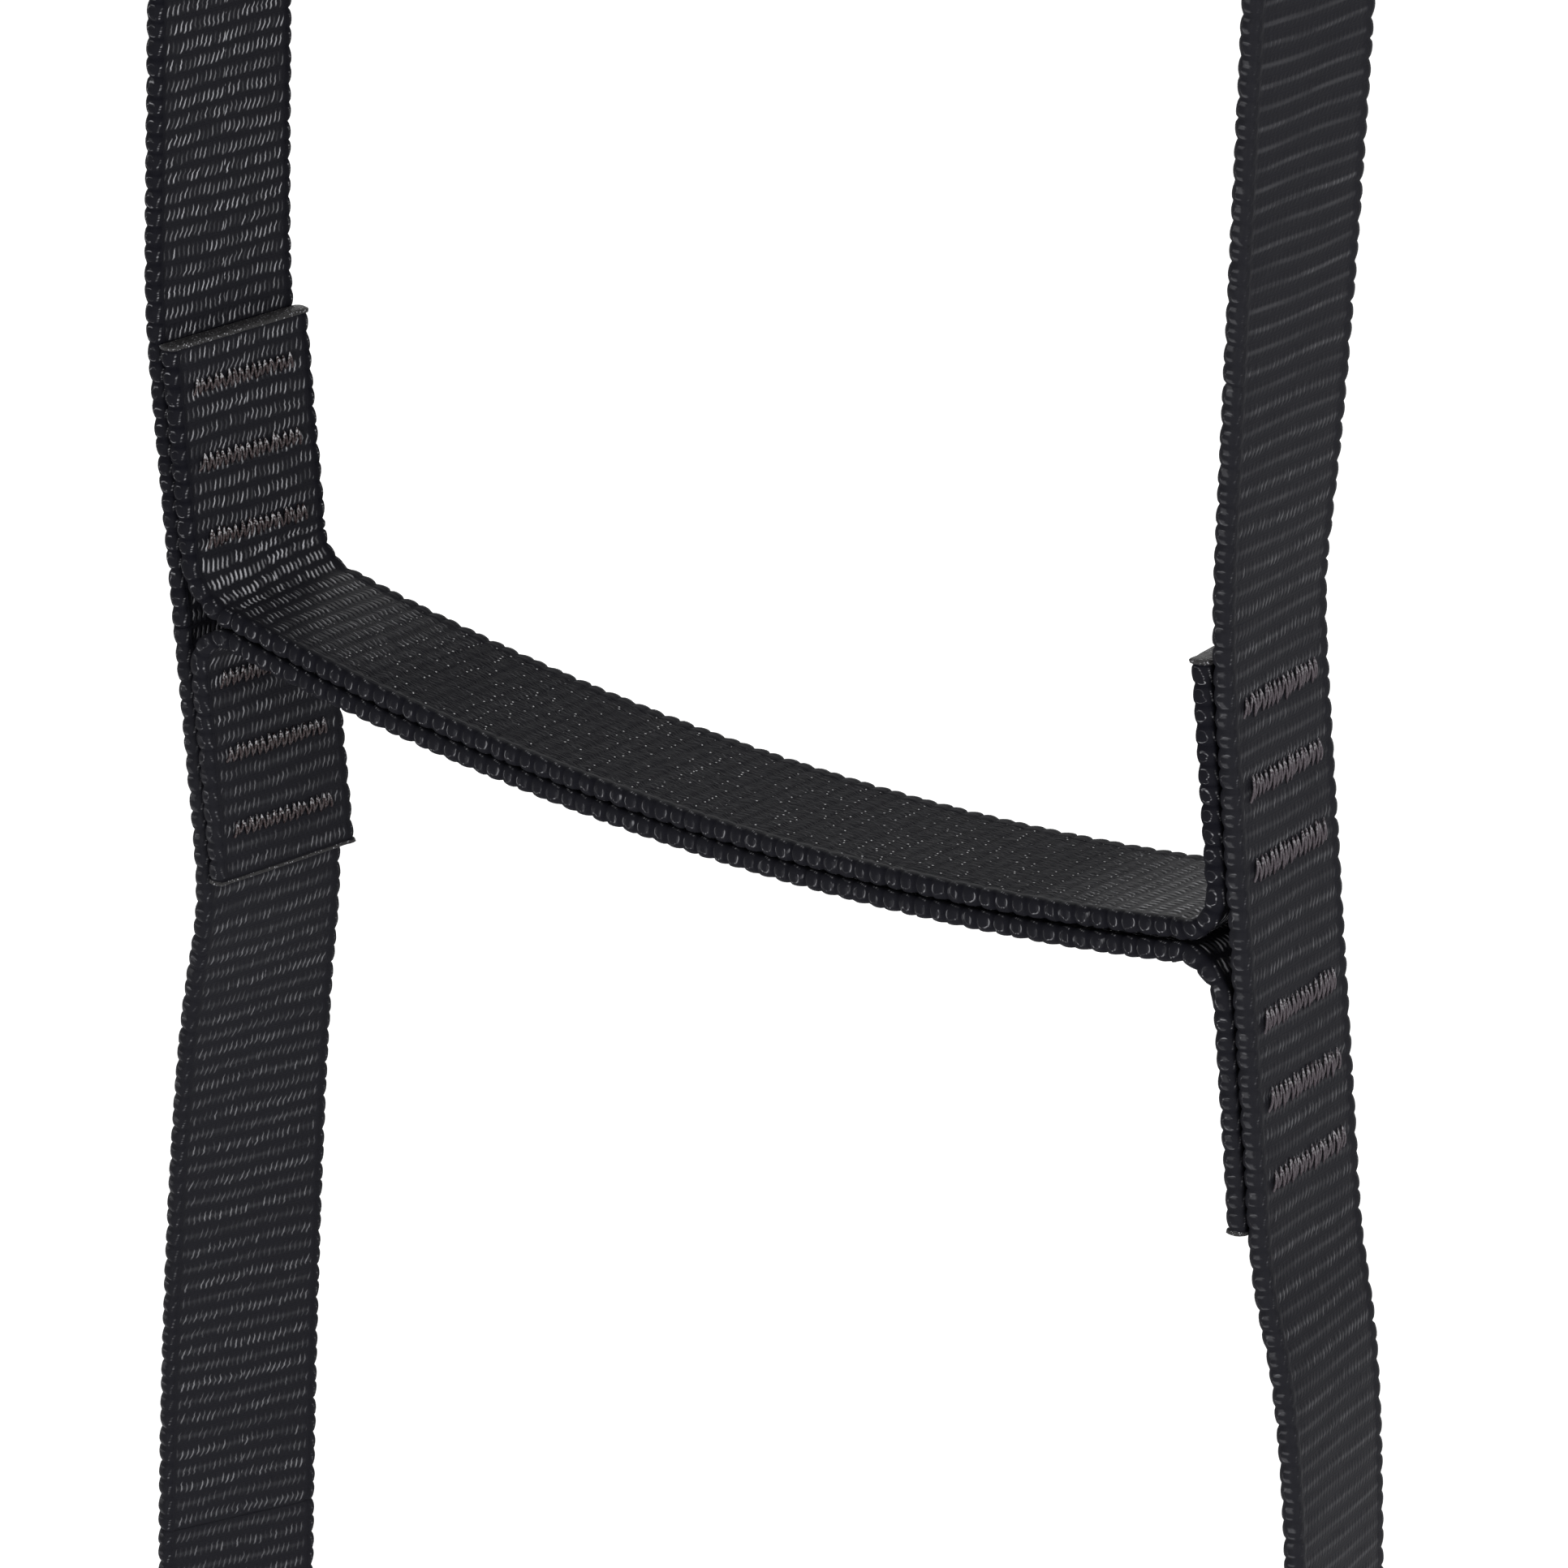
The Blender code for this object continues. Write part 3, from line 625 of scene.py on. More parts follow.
def selvedge_weave(add, place, from_edge, ribs):
    """Pattern of a selvedge: relief and glint of the yarns that turn round it.

    On each bead a thin U opens towards the face, and a stroke lies beside the face, both painted
    as glints. Where it is worn, two short ticks of faint painted glint lie across each bead
    instead. Places are in millimetres from its middle.
    """
    worn = add("ShaderNodeAttribute", take="Fac", attribute_name="worn")
    strays = add("ShaderNodeTexNoise", {"Vector": place, "Scale": 2.3, "Detail": 1.0})
    strays = add("SUBTRACT", (strays, 0.5))
    run = add("MULTIPLY_ADD", (strays, 0.6, ribs))
    low = add("MULTIPLY_ADD", (strays, 1.3, from_edge))
    in_rib = add("SUBTRACT", (add("FRACT", (run,)), 0.5))

    # U of a bead: an arc about a point near the face, raised a little and painted as a glint
    aside = add("MULTIPLY", (in_rib, RIB_PITCH / MM))
    above = add("SUBTRACT", (low, ARC_CENTRE))
    radius = add("ADD", (add("MULTIPLY", (aside, aside)), add("MULTIPLY", (above, above))))
    radius = add("SUBTRACT", (add("SQRT", (radius,)), ARC_RADIUS))
    closed = mark(add, add("MAXIMUM", (above, 0.0)), ARC_OPENING)
    arc = add("MULTIPLY", (mark(add, radius, ARC_WIDTH), closed))

    # Slanting stroke beside the face, painted as a glint
    beside = add("SUBTRACT", (add("ABSOLUTE", (from_edge,)), SIDE_STROKE_PLACE))
    beside = add("MULTIPLY_ADD", (in_rib, 0.8, beside))
    short = mark(add, in_rib, SIDE_STROKE_LENGTH)
    stroke = add("MULTIPLY", (mark(add, beside, SIDE_STROKE_WIDTH), short))

    # Ticks of a worn selvedge, two to a bead, painted as faint glints
    in_half = add("SUBTRACT", (add("FRACT", (add("MULTIPLY", (run, 2.0)),)), 0.5))
    tick = add("MULTIPLY", (mark(add, in_half, TICK_WIDTH), mark(add, low, TICK_LENGTH)))

    # The painted glints are broken by the filaments, so that hardly two beads look alike
    broken = add("ShaderNodeTexNoise", {"Vector": place, "Scale": 9.0})
    broken = {"Value": broken, "From Min": 0.5, "From Max": 0.64, "To Min": 0.07}
    broken = add("ShaderNodeMapRange", broken)
    painted_glint = add("MAXIMUM", (add("MULTIPLY", (arc, 0.55)), add("MULTIPLY", (stroke, 0.6))))
    painted_glint = add("MULTIPLY", (painted_glint, broken))
    tick_painted_glint = add("MULTIPLY", (tick, 0.1))
    painted_glint = add("ShaderNodeMix", {"Factor": worn, "A": painted_glint, "B": tick_painted_glint})
    pillow = mark(add, in_rib, BEAD_LENGTH)
    return add("MULTIPLY_ADD", (arc, 0.25, add("MULTIPLY", (pillow, 0.45)))), painted_glint


def webbing_material(settings):
    """Woven polyamide of twisted multifilament yarns: matt black, with painted shade between the
    yarns and a thin painted glint on each crown.
    """
    material = new_material("Woven polyamide")
    add = partial(add_node, material.node_tree)
    place = add("ShaderNodeUVMap", uv_map="weave")
    split = add("ShaderNodeSeparateXYZ", (place,), take=None)
    round_section, ribs = split.outputs["X"], split.outputs["Y"]
    from_edge = add("SUBTRACT", (add("FRACT", (round_section,)), 0.5))
    from_edge = add("MULTIPLY", (from_edge, FACE_WIDTH / MM))
    face = face_weave(add, settings, place, round_section, ribs)
    edge_relief, edge_painted_glint = selvedge_weave(add, place, from_edge, ribs)

    # Painted shade: the groove between the face and the selvedge is a plain dark band without
    # glints
    on_face = mark(add, from_edge, FACE_START)
    on_edge = mark(add, from_edge, SELVEDGE_END)
    relief, tone, painted_glint, painted_sparkle = (add("MULTIPLY", (part, on_face)) for part in face)
    relief = add("MULTIPLY_ADD", (edge_relief, on_edge, relief))
    # The tops of the beads are painted lighter than the hollows between them, as painted shade
    tone = add("MULTIPLY_ADD", (add("MULTIPLY", (edge_relief, on_edge)), 0.8, tone))
    band = add("SUBTRACT", (1.0, add("ADD", (on_face, on_edge))))
    tone = add("MULTIPLY_ADD", (band, 0.4, tone))
    painted_glint = add("MULTIPLY_ADD", (edge_painted_glint, on_edge, painted_glint))

    # Where it is worn, the painted shade of the grooves is lifted to the fibre colour too
    worn = add("ShaderNodeAttribute", take="Fac", attribute_name="worn")
    tone = add("ShaderNodeMix", {"Factor": worn, "A": tone, "B": 1.0})

    coats = (tone, settings.fibre), (painted_glint, settings.painted_glint), (painted_sparkle, settings.painted_sparkle)
    roughness = add("ShaderNodeMapRange", {"Value": tone, "To Min": 0.8, "To Max": 0.5})
    finish_material(
        material, settings.shade, coats, relief, settings.yarn_relief,
        roughness=roughness, specular=0.045,
    )
    return material


def sealed_material(settings):
    """Polyamide melted by a hot knife: a dark crust with painted highlights on small beads."""
    material = new_material("Sealed polyamide")
    add = partial(add_node, material.node_tree)
    place = add("ShaderNodeTexCoord", take="Object")

    # Lumps of 0.5 mm and melted yarn ends 0.36 mm apart
    lumps = add("ShaderNodeTexNoise", {"Vector": place, "Scale": 1 / (0.5 * MM), "Detail": 3.0})
    beads = add("ShaderNodeTexVoronoi", {"Vector": place, "Scale": 1 / (0.36 * MM)})
    # Painted highlights in the glint colour on the beads, in some of the lumps
    bright = add("ShaderNodeMapRange", {"Value": beads, "From Min": 0.38, "From Max": 0.16})
    some = add("ShaderNodeMapRange", {"Value": lumps, "From Min": 0.46, "From Max": 0.58})
    coats = [(add("MULTIPLY", (bright, some)), settings.painted_glint)]
    finish_material(
        material, settings.sealed, coats, lumps, 0.4 * MM, roughness=0.6, specular=0.25
    )
    return material


def thread_material(settings):
    """Bonded polyamide sewing thread: warmer than the webbing, with a painted highlight on top of
    the stitches.
    """
    material = new_material("Bonded polyamide thread")
    add = partial(add_node, material.node_tree)
    place = add("ShaderNodeTexCoord", take="Object")
    worn, peak = (
        add("ShaderNodeAttribute", take="Fac", attribute_name=name) for name in ("worn", "peak")
    )

    # Plies of the thread, 0.3 mm apart, drawn as a fine noise
    plies = add("ShaderNodeTexNoise", {"Vector": place, "Scale": 1 / (0.3 * MM), "Detail": 2.0})
    bright = add("ShaderNodeMapRange", {"Value": plies, "From Min": 0.45, "From Max": 0.6})
    # Painted highlight: the glint colour shows on the brighter plies towards the top of each
    # stitch, dulled where the thread is worn
    top = add("ShaderNodeMapRange", {"Value": peak, "From Min": 0.1, "From Max": 0.8})
    top = add("MULTIPLY_ADD", (top, 0.9, 0.08))
    dulled = add("MULTIPLY_ADD", (worn, -0.45, 1.0))
    painted_glint = add("MULTIPLY", (add("MULTIPLY", (bright, top)), dulled))
    coats = (worn, settings.haze), (painted_glint, settings.painted_glint)
    finish_material(
        material, settings.colour, coats, plies, 0.08 * MM, roughness=0.5, specular=0.2
    )
    return material


def new_tree(name, **inputs):
    """A Geometry Nodes tree with one geometry in, one out, and named inputs of each kind."""
    tree = bpy.data.node_groups.new(name, "GeometryNodeTree")
    for kind, names in {"Geometry": ("Geometry",), **inputs}.items():
        for input_name in names:
            tree.interface.new_socket(
                input_name, in_out="INPUT", socket_type=f"NodeSocket{kind}"
            )
    tree.interface.new_socket("Geometry", in_out="OUTPUT", socket_type="NodeSocketGeometry")
    return tree


def rib_tree():
    """Tree that raises the ribs of a swept webbing and scallops its selvedges.

    It reads each point's place in ribs, how far it is on a face and on a selvedge, the way out of
    the surface and how much a bar tack pulls it in. Every other bead of a selvedge is higher.
    """
    tree = new_tree(
        "Woven ribs",
        Float=("Rib Height", "Bead Height", "Pinch Depth", "Unevenness", "Seed"),
        Material=("Weave", "Sealed End"),
    )
    add = partial(add_node, tree)
    given = add("NodeGroupInput", take=None).outputs
    rib, face, selvedge, pinch = (
        add("GeometryNodeInputNamedAttribute", {"Name": name})
        for name in ("rib", "face", "selvedge", "pinch")
    )
    way = {"data_type": "FLOAT_VECTOR"}
    outward = add("GeometryNodeInputNamedAttribute", {"Name": "outward"}, **way)
    in_rib = add("SUBTRACT", (add("MULTIPLY", (add("FRACT", (rib,)), 2.0)), 1.0))
    crown = add("SQRT", (add("SUBTRACT", (1.0, add("MULTIPLY", (in_rib, in_rib)))),))
    level = add("SUBTRACT", (crown, 0.5))
    every_other = add("COSINE", (add("MULTIPLY", (rib, math.pi)),))
    bead = add("MULTIPLY_ADD", (every_other, 0.14, level))
    face_rise = add("MULTIPLY", (add("MULTIPLY", (level, face)), given["Rib Height"]))
    edge_rise = add("MULTIPLY", (add("MULTIPLY", (bead, selvedge)), given["Bead Height"]))
    rise = add("ADD", (face_rise, edge_rise))
    flattened = add("SUBTRACT", (1.0, add("MULTIPLY", (pinch, 0.5))))
    rise = add("MULTIPLY", (rise, flattened))
    sunk = add("MULTIPLY", (pinch, given["Pinch Depth"]))

    # The weave strays by soft lumps of 4 mm
    place = add("GeometryNodeInputPosition")
    stray_inputs = {"Vector": place, "W": given["Seed"], "Scale": 1 / (4 * MM)}
    stray = add("ShaderNodeTexNoise", stray_inputs, noise_dimensions="4D")
    stray = add("MULTIPLY", (add("SUBTRACT", (stray, 0.5)), 2.0))
    rise = add("MULTIPLY_ADD", (stray, given["Unevenness"], add("SUBTRACT", (rise, sunk))))
    move = add("ShaderNodeVectorMath", {"Vector": outward, "Scale": rise}, operation="SCALE")
    raised = add("GeometryNodeSetPosition", {"Geometry": given["Geometry"], "Offset": move})
    smooth = add("GeometryNodeSetShadeSmooth", {"Geometry": raised})
    real = add("GeometryNodeRealizeInstances", {"Geometry": smooth})
    woven = add("GeometryNodeSetMaterial", {"Geometry": real, "Material": given["Weave"]})
    cut = add("GeometryNodeInputNamedAttribute", {"Name": "sealed"}, data_type="BOOLEAN")
    ends = {"Geometry": woven, "Selection": cut, "Material": given["Sealed End"]}
    add("NodeGroupOutput", {"Geometry": add("GeometryNodeSetMaterial", ends)})
    return tree


def stitch_tree():
    """Tree that lays a zigzag of thread along each guide edge, as a bar tack on one face."""
    tree = new_tree(
        "Bar tack",
        Int=("Points",),
        Float=("Stitch Pitch", "Height", "Bulge", "Thread Radius", "Seed"),
        Material=("Thread",),
    )
    add = partial(add_node, tree)
    given = add("NodeGroupInput", take=None).outputs
    guide = add("GeometryNodeMeshToCurve", {"Mesh": given["Geometry"]})
    curve = add("GeometryNodeResampleCurve", {"Curve": guide, "Count": given["Points"]})
    up, out = (
        add("GeometryNodeInputNamedAttribute", {"Name": name}, data_type="FLOAT_VECTOR")
        for name in ("up", "out")
    )
    along = add("GeometryNodeInputTangent")
    index = add("GeometryNodeSplineParameter", take="Index")
    turn = add("PINGPONG", (add("MULTIPLY", (index, 2 / POINTS_PER_STITCH)), 1.0))
    wave = add("MULTIPLY_ADD", (turn, 2.0, -1.0))

    # No two stitches are alike: they stray by a noise of 1.1 mm
    place = add("GeometryNodeInputPosition")
    stray_inputs = {"Vector": place, "W": given["Seed"], "Scale": 1 / (1.1 * MM)}
    stray = add("ShaderNodeTexNoise", stray_inputs, noise_dimensions="4D", take=None)
    stray = add("SUBTRACT", (stray.outputs["Fac"], 0.5))
    reach = add("MULTIPLY", (wave, add("MULTIPLY_ADD", (stray, 0.5, 0.4))))
    worn = add("GeometryNodeInputNamedAttribute", {"Name": "worn"})
    spread = add("MULTIPLY_ADD", (worn, 0.35, 0.95))
    reach = add("MULTIPLY", (reach, add("MULTIPLY", (spread, given["Height"]))))

    # The thread rises from the webbing, arches over it and goes back in at each end
    arch = add("SUBTRACT", (1.0, add("MULTIPLY", (wave, wave))))
    rise = add("MULTIPLY", (add("MULTIPLY_ADD", (stray, 1.2, arch)), given["Bulge"]))
    slide = add("MULTIPLY", (stray, given["Stitch Pitch"]))
    slide = add("MULTIPLY_ADD", (wave, add("MULTIPLY", (given["Stitch Pitch"], 0.1)), slide))
    moves = [
        add("ShaderNodeVectorMath", {"Vector": way, "Scale": size}, operation="SCALE")
        for way, size in ((up, reach), (out, rise), (along, slide))
    ]
    move = add("ShaderNodeVectorMath", moves[:2], operation="ADD")
    move = add("ShaderNodeVectorMath", (move, moves[2]), operation="ADD")
    laid = add("GeometryNodeSetPosition", {"Geometry": curve, "Offset": move})
    height = {"Geometry": laid, "Name": "peak", "Value": wave}
    laid = add("GeometryNodeStoreNamedAttribute", height)
    round_thread = {"Resolution": 6, "Radius": given["Thread Radius"]}
    profile = add("GeometryNodeCurvePrimitiveCircle", round_thread)
    tube = {"Curve": laid, "Profile Curve": profile, "Fill Caps": True}
    tubes = add("GeometryNodeCurveToMesh", tube)
    smooth = add("GeometryNodeSetShadeSmooth", {"Geometry": tubes})
    real = add("GeometryNodeRealizeInstances", {"Geometry": smooth})
    thread = add("GeometryNodeSetMaterial", {"Geometry": real, "Material": given["Thread"]})
    add("NodeGroupOutput", {"Geometry": thread})
    return tree


def grown(thing, tree, values):
    """Run a tree on an object, leave its result as the object's plain mesh, and drop the tree."""
    modifier = thing.modifiers.new(tree.name, "NODES")
    modifier.node_group = tree
    for item in tree.interface.items_tree:
        if item.in_out == "INPUT" and item.name in values:
            modifier[item.identifier] = values[item.name]
    bpy.context.view_layer.update()
    evaluated = thing.evaluated_get(bpy.context.evaluated_depsgraph_get())
    mesh = bpy.data.meshes.new_from_object(evaluated)
    thing.modifiers.clear()
    thing.data = mesh
    mesh.name = thing.name
    return thing


def section():
    """Section of the webbing as rows of width, thickness, face and selvedge, once round."""
    quarter = np.array(SECTION_SHARES)
    flip = quarter[::-1]
    rows = (
        quarter[:-1],
        flip[:-1] * (1, -1, 1, 1),
        quarter[:-1] * (-1, -1, 1, 1),
        flip[:-1] * (-1, 1, 1, 1),
    )
    return np.concatenate(rows) * (WEBBING_WIDTH / 2, WEBBING_THICKNESS / 2, 1, 1)


def end_rings(kind, sign):
    """Rings that close an end: how far beyond it, and the shares of thickness and width left."""
    rings = SEALED_RINGS if kind == "sealed" else ()
    if kind == "round":
        shares = np.sin(np.radians(ROUND_ANGLES))
        rings = [(s * WEBBING_THICKNESS * ROUND_BULGE, math.sqrt(1 - s * s), 1.0) for s in shares]
    return [(sign * beyond, thick, wide) for beyond, thick, wide in rings]


def wear_and_falloff_at(height):
    """How worn the outer face of the straps is, and how far the inner face's painted light softens,
    at some heights.
    """
    levels = [step_level(step) for step in range(1, STEP_COUNT + 1)]
    from_step = np.min([abs(height - level) for level in levels], axis=0)
    outer = np.interp(from_step, SEAM_REACH, (SEAM_WEAR, OUTER_WEAR))
    turn = [levels[1] + reach for reach in INNER_REACH]
    return outer, np.interp(height, turn, INNER_GLINT_FALLOFF[::-1])


def ways_on(line):
    """Ways along a webbing, across it and out of its face, at each station of its line."""
    along = np.gradient(line[:, :3], axis=0)
    along /= np.linalg.norm(along, axis=1)[:, None]
    level = np.array((0, 1, 0)) - along * along[:, 1:2]
    level /= np.linalg.norm(level, axis=1)[:, None]
    toe = line[:, 3:]
    across = level * np.cos(toe) + np.cross(level, along) * np.sin(toe)
    return along, across, np.cross(along, across)


def bends_on(along):
    """Where a ply bends up or down, from 0 to 1, spread over one rib to each side."""
    turn = np.linalg.norm(np.gradient(along, axis=0), axis=1)
    reach = np.ones(2 * RINGS_PER_RIB + 1) / (2 * RINGS_PER_RIB + 1)
    return np.convolve(np.clip(turn / FULL_BEND, 0, 1), reach, "same")


def pulled_in(centre, width, spots):
    """How much the bar tacks at some spots pull in each point of the rings, from 0 to 1."""
    pinch = np.zeros_like(width)
    across_bar = np.clip((BAR_WIDTH / 2 + PINCH_MARGIN - abs(width)) / PINCH_REACH, 0, 1)
    for spot in spots:
        far = np.linalg.norm(centre - np.array(spot), axis=1)[:, None]
        pinch += np.exp(-((far / PINCH_REACH) ** 2)) * across_bar
    return np.clip(pinch, 0, 1)


def ring_faces(ring_count, count):
    """Faces between the rings and of the caps at both ends, and how many faces a cap has."""
    ring, corner = np.meshgrid(np.arange(ring_count - 1), np.arange(count), indexing="ij")
    a, b = (ring * count + corner).ravel(), (ring * count + (corner + 1) % count).ravel()
    faces = np.stack((a, b, b + count, a + count), 1).tolist()
    quarter = count // 4
    for base, turned in ((0, True), ((ring_count - 1) * count, False)):
        for k in range(-quarter, quarter):
            corners = (k, k + 1, 2 * quarter - k - 1, 2 * quarter - k)
            face = list(dict.fromkeys(base + corner % count for corner in corners))
            faces.append(face[::-1] if turned else face)
    return faces, 2 * quarter


def lay_weave_map(mesh, rows, rib):
    """UV map: half turns round the section as u, and ribs along the webbing as v.

    The middles of the selvedges are at a u of 0.5 and 1.5.
    """
    count = len(rows)
    sides = np.diff(rows[:, :2], axis=0, append=rows[:1, :2])
    girth = np.append(0, np.cumsum(np.linalg.norm(sides, axis=1)))
    girth *= 2 / girth[-1]
    corner = np.empty(len(mesh.loops), int)
    mesh.loops.foreach_get("vertex_index", corner)
    at = np.arange(len(corner))
    u = girth[corner % count]

    # The faces that close the section end at 2, where their next corner's u is 0
    swept = at < 4 * (len(rib) - 1) * count
    u[swept & np.isin(at % 4, (1, 2)) & (corner % count == 0)] = 2
    uv = np.stack((u, rib.ravel()[corner]), 1)
    mesh.uv_layers.new(name="weave").data.foreach_set("uv", uv.astype(np.float32).ravel())


def sweep(name, line, first_rib, ends, spots, outer_side=0, edge_wear=0.0):
    """Base mesh of a webbing on its stations, with the attributes that the rib tree reads.

    The outer side is 1 where the webbing's own way out points outwards, -1 where it points
    inwards, and 0 for a step, which has no outer side but a tread.
    """
    along, across, out = ways_on(line)
    # The bend share paints the glints brighter and wider where a ply turns towards the light
    bend_highlight = bends_on(along) if outer_side == 0 else np.zeros(len(line))
    rows = section()
    count = len(rows)
    rings = [(0, *ring) for ring in end_rings(ends[0], -1)[::-1]]
    rings += [(at, 0, 1, 1) for at in range(len(line))]
    rings += [(len(line) - 1, *ring) for ring in end_rings(ends[1], 1)]
    at = np.array([ring[0] for ring in rings])
    beyond, thick, wide = (np.array([ring[k] for ring in rings])[:, None] for k in (1, 2, 3))

    # The points, and each point's place in ribs, way out of the surface, wear and painted light
    w, t = rows[:, 0] * wide, rows[:, 1] * thick
    centre, along, across, out = (part[at][:, None] for part in (line[:, :3], along, across, out))
    points = centre + along * beyond[..., None] + across * w[..., None] + out * t[..., None]
    steps = np.linalg.norm(np.diff(line[:, :3], axis=0), axis=1)
    rib = first_rib + (at[:, None] + beyond / steps.mean()) / RINGS_PER_RIB
    waver, width, length = RIB_WAVER
    rib = rib + waver * np.sin(2 * math.pi * (w / width + rib / length))
    face, selvedge = (np.tile(rows[:, k], (len(rings), 1)) for k in (2, 3))
    side = np.sign(w) * np.sqrt(selvedge)
    flat = np.sign(rows[:, 1]) * np.sqrt(1 - side**2)
    outward = across * side[..., None] + out * flat[..., None]
    outer, inner = (np.array(share)[:, None] for share in wear_and_falloff_at(centre[:, 0, 2]))
    outwards = np.interp(outer_side * flat, (-1, 0, 1), (0, edge_wear, 1))
    # Share of a tread, whose top is painted darker as shade, with dimmed glints and painted
    # sparkles
    tread_and_top_shade = np.interp(abs(centre[..., 0]), TREAD_REACH[::-1], (1, 0)) * (outer_side == 0)
    values = {
        "rib": rib,
        "face": face,
        "selvedge": selvedge,
        "pinch": pulled_in(centre[:, 0], w, spots),
        "worn": inner + (outer - inner) * outwards * abs(outer_side),
        "tread_and_top_shade": tread_and_top_shade + 0 * w,
        "bend_highlight": bend_highlight[at][:, None] + 0 * w,
    }
    values["face"] = face * (1 - TREAD_FLATNESS * values["tread_and_top_shade"])

    faces, cap = ring_faces(len(rings), count)
    mesh = bpy.data.meshes.new(name)
    mesh.from_pydata(points.reshape(-1, 3).tolist(), [], faces)
    for attribute, value in values.items():
        layer = mesh.attributes.new(attribute, "FLOAT", "POINT")
        layer.data.foreach_set("value", value.astype(np.float32).ravel())
    layer = mesh.attributes.new("outward", "FLOAT_VECTOR", "POINT")
    layer.data.foreach_set("vector", outward.astype(np.float32).ravel())
    lay_weave_map(mesh, rows, rib)

    # Faces of the sealed ends: the last rings but one, and the caps
    sealed = np.zeros(len(faces), bool)
    swept = (len(rings) - 1) * count
    for end, kind in enumerate(ends):
        if kind == "sealed":
            extra = (len(end_rings(kind, 1)) - 1) * count
            sealed[slice(0, extra) if end == 0 else slice(swept - extra, swept)] = True
            sealed[swept + end * cap : swept + (end + 1) * cap] = True
    mesh.attributes.new("sealed", "BOOLEAN", "FACE").data.foreach_set("value", sealed)
    thing = bpy.data.objects.new(name, mesh)
    bpy.context.scene.collection.objects.link(thing)
    return thing


def kept(library, name, make, *settings):
    """A material or a node tree by name, made the first time it is asked for."""
    return library.get(name) or make(*settings)


def weave_piece(context, thing, replaced):
    """Finish a swept webbing as a woven piece that stands for solids of the frame."""
    settings = context.scene.etrier_webbing
    values = {
        "Rib Height": settings.rib_height,
        "Bead Height": settings.bead_height,
        "Pinch Depth": settings.pinch_depth,
        "Unevenness": settings.unevenness,
        "Seed": WEAVE_SEED,
        "Weave": kept(bpy.data.materials, "Woven polyamide", webbing_material, settings),
        "Sealed End": kept(bpy.data.materials, "Sealed polyamide", sealed_material, settings),
    }
    grown(thing, kept(bpy.data.node_groups, "Woven ribs", rib_tree), values)
    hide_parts(*replaced)


def body_at(step):
    """Body that carries a step."""
    return "head" if step == 1 else f"step_{step}"


class EtrierSideWebbing(bpy.types.Operator):
    """Weave the webbing over the eye and down both sides"""

    bl_idname = "etrier.side_webbing"
    bl_label = "Side webbing"

    def execute(self, context):
        pitch = context.scene.etrier_webbing.rib_pitch
        pinches = tack_points(range(1, STEP_COUNT + 1), "strap")
        for height in eye_tack_heights():
            pinches += [(-PLY_PITCH / 2, 0, height), (PLY_PITCH / 2, 0, height)]
        head = stations_on(head_line(), pitch)
        thing = sweep("woven_head", head, 0, ("plain", "plain"), pinches, 1, EDGE_WEAR["left"])
        weave_piece(context, thing, ["head_webbing"])
        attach(thing, "head")
        for side_name in SIDES:
            line = stations_on(strap_line(side_name), pitch)
            self.weave_strap(context, side_name, line, pinches)
        return {"FINISHED"}

    def weave_strap(self, context, side_name, line, pinches):
        """Divide one strap where it stays straight and weave each stretch."""
        side = SIDES[side_name]
        folds = {step: fold_height(step, "lower") for step in range(1, STEP_COUNT)}
        cuts = [(step_level(1), "plain")]
        for step in range(1, STEP_COUNT):
            upper = fold_height(step + 1, "upper")
            if side_name == "left":
                cuts.append(((folds[step] + upper) / 2, "plain"))
                cuts.append((step_level(step + 1), "plain"))
            else:
                cuts.append((upper, "round"))
        cuts.append((line[-1, 2], "sealed"))
        rings = [
            RINGS_PER_RIB * round(int(np.argmin(abs(line[:, 2] - height))) / RINGS_PER_RIB)
            for height, _ in cuts
        ]
        for part, (first, last) in enumerate(zip(rings, rings[1:])):
            ends = (cuts[part][1], cuts[part + 1][1])
            stretch = line[first : last + 1]
            name = f"woven_{side_name}_strap_{part + 1}"
            below = part % 2 == 0 if side_name == "left" else True
            step = part // 2 + 1 if side_name == "left" else part + 1
            replaced, pair, start, end = self.neighbours(side_name, step, below)
            first_rib = first // RINGS_PER_RIB
            edge_wear = EDGE_WEAR[side_name]
            thing = sweep(name, stretch, first_rib, ends, pinches, side, edge_wear)
            weave_piece(context, thing, replaced)
            if pair[1] is None:
                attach(thing, pair[0])
            else:
                x = side * STRAP_HALF_WIDTH + float(lean_shift((start + end) / 2))
                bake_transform(thing)

    def neighbours(self, side_name, step, below):
        """Solids that a stretch stands for, the bodies it joins, and where it bends."""
        at_step = f"{side_name}_strap_at_step_{step}"
        if step == STEP_COUNT and below:
            return [at_step], (body_at(step), None), 0, 0
        under = f"{side_name}_strap_below_step_{step}"
        strap = f"{side_name}_strap_{step}"
        if below:
            fold = fold_height(step, "lower")
            solids = [under] if step == 1 else [at_step, under]
            return solids, (body_at(step), strap), fold + FOLD_EASE, fold - FOLD_EASE
        fold = fold_height(step + 1, "upper")
        solids = [under, f"{side_name}_strap_at_step_{step + 1}"]
        return solids, (strap, body_at(step + 1)), fold + FOLD_EASE, fold - FOLD_EASE


class EtrierSteps(bpy.types.Operator):
    """Weave the two plies of each step"""

    bl_idname = "etrier.steps"
    bl_label = "Steps"

    def execute(self, context):
        pitch = context.scene.etrier_webbing.rib_pitch
        for step in range(1, STEP_COUNT + 1):
            pinches = tack_points([step], "ply")
            for ply in PLIES:
                line = stations_on(ply_line(step, ply), pitch)
                name = f"woven_step_{step}_{ply}_ply"
                thing = sweep(name, line, 0, ("sealed", "sealed"), pinches)
                weave_piece(context, thing, [f"step_{step}_{ply}_ply"])
                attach(thing, body_at(step))
        return {"FINISHED"}


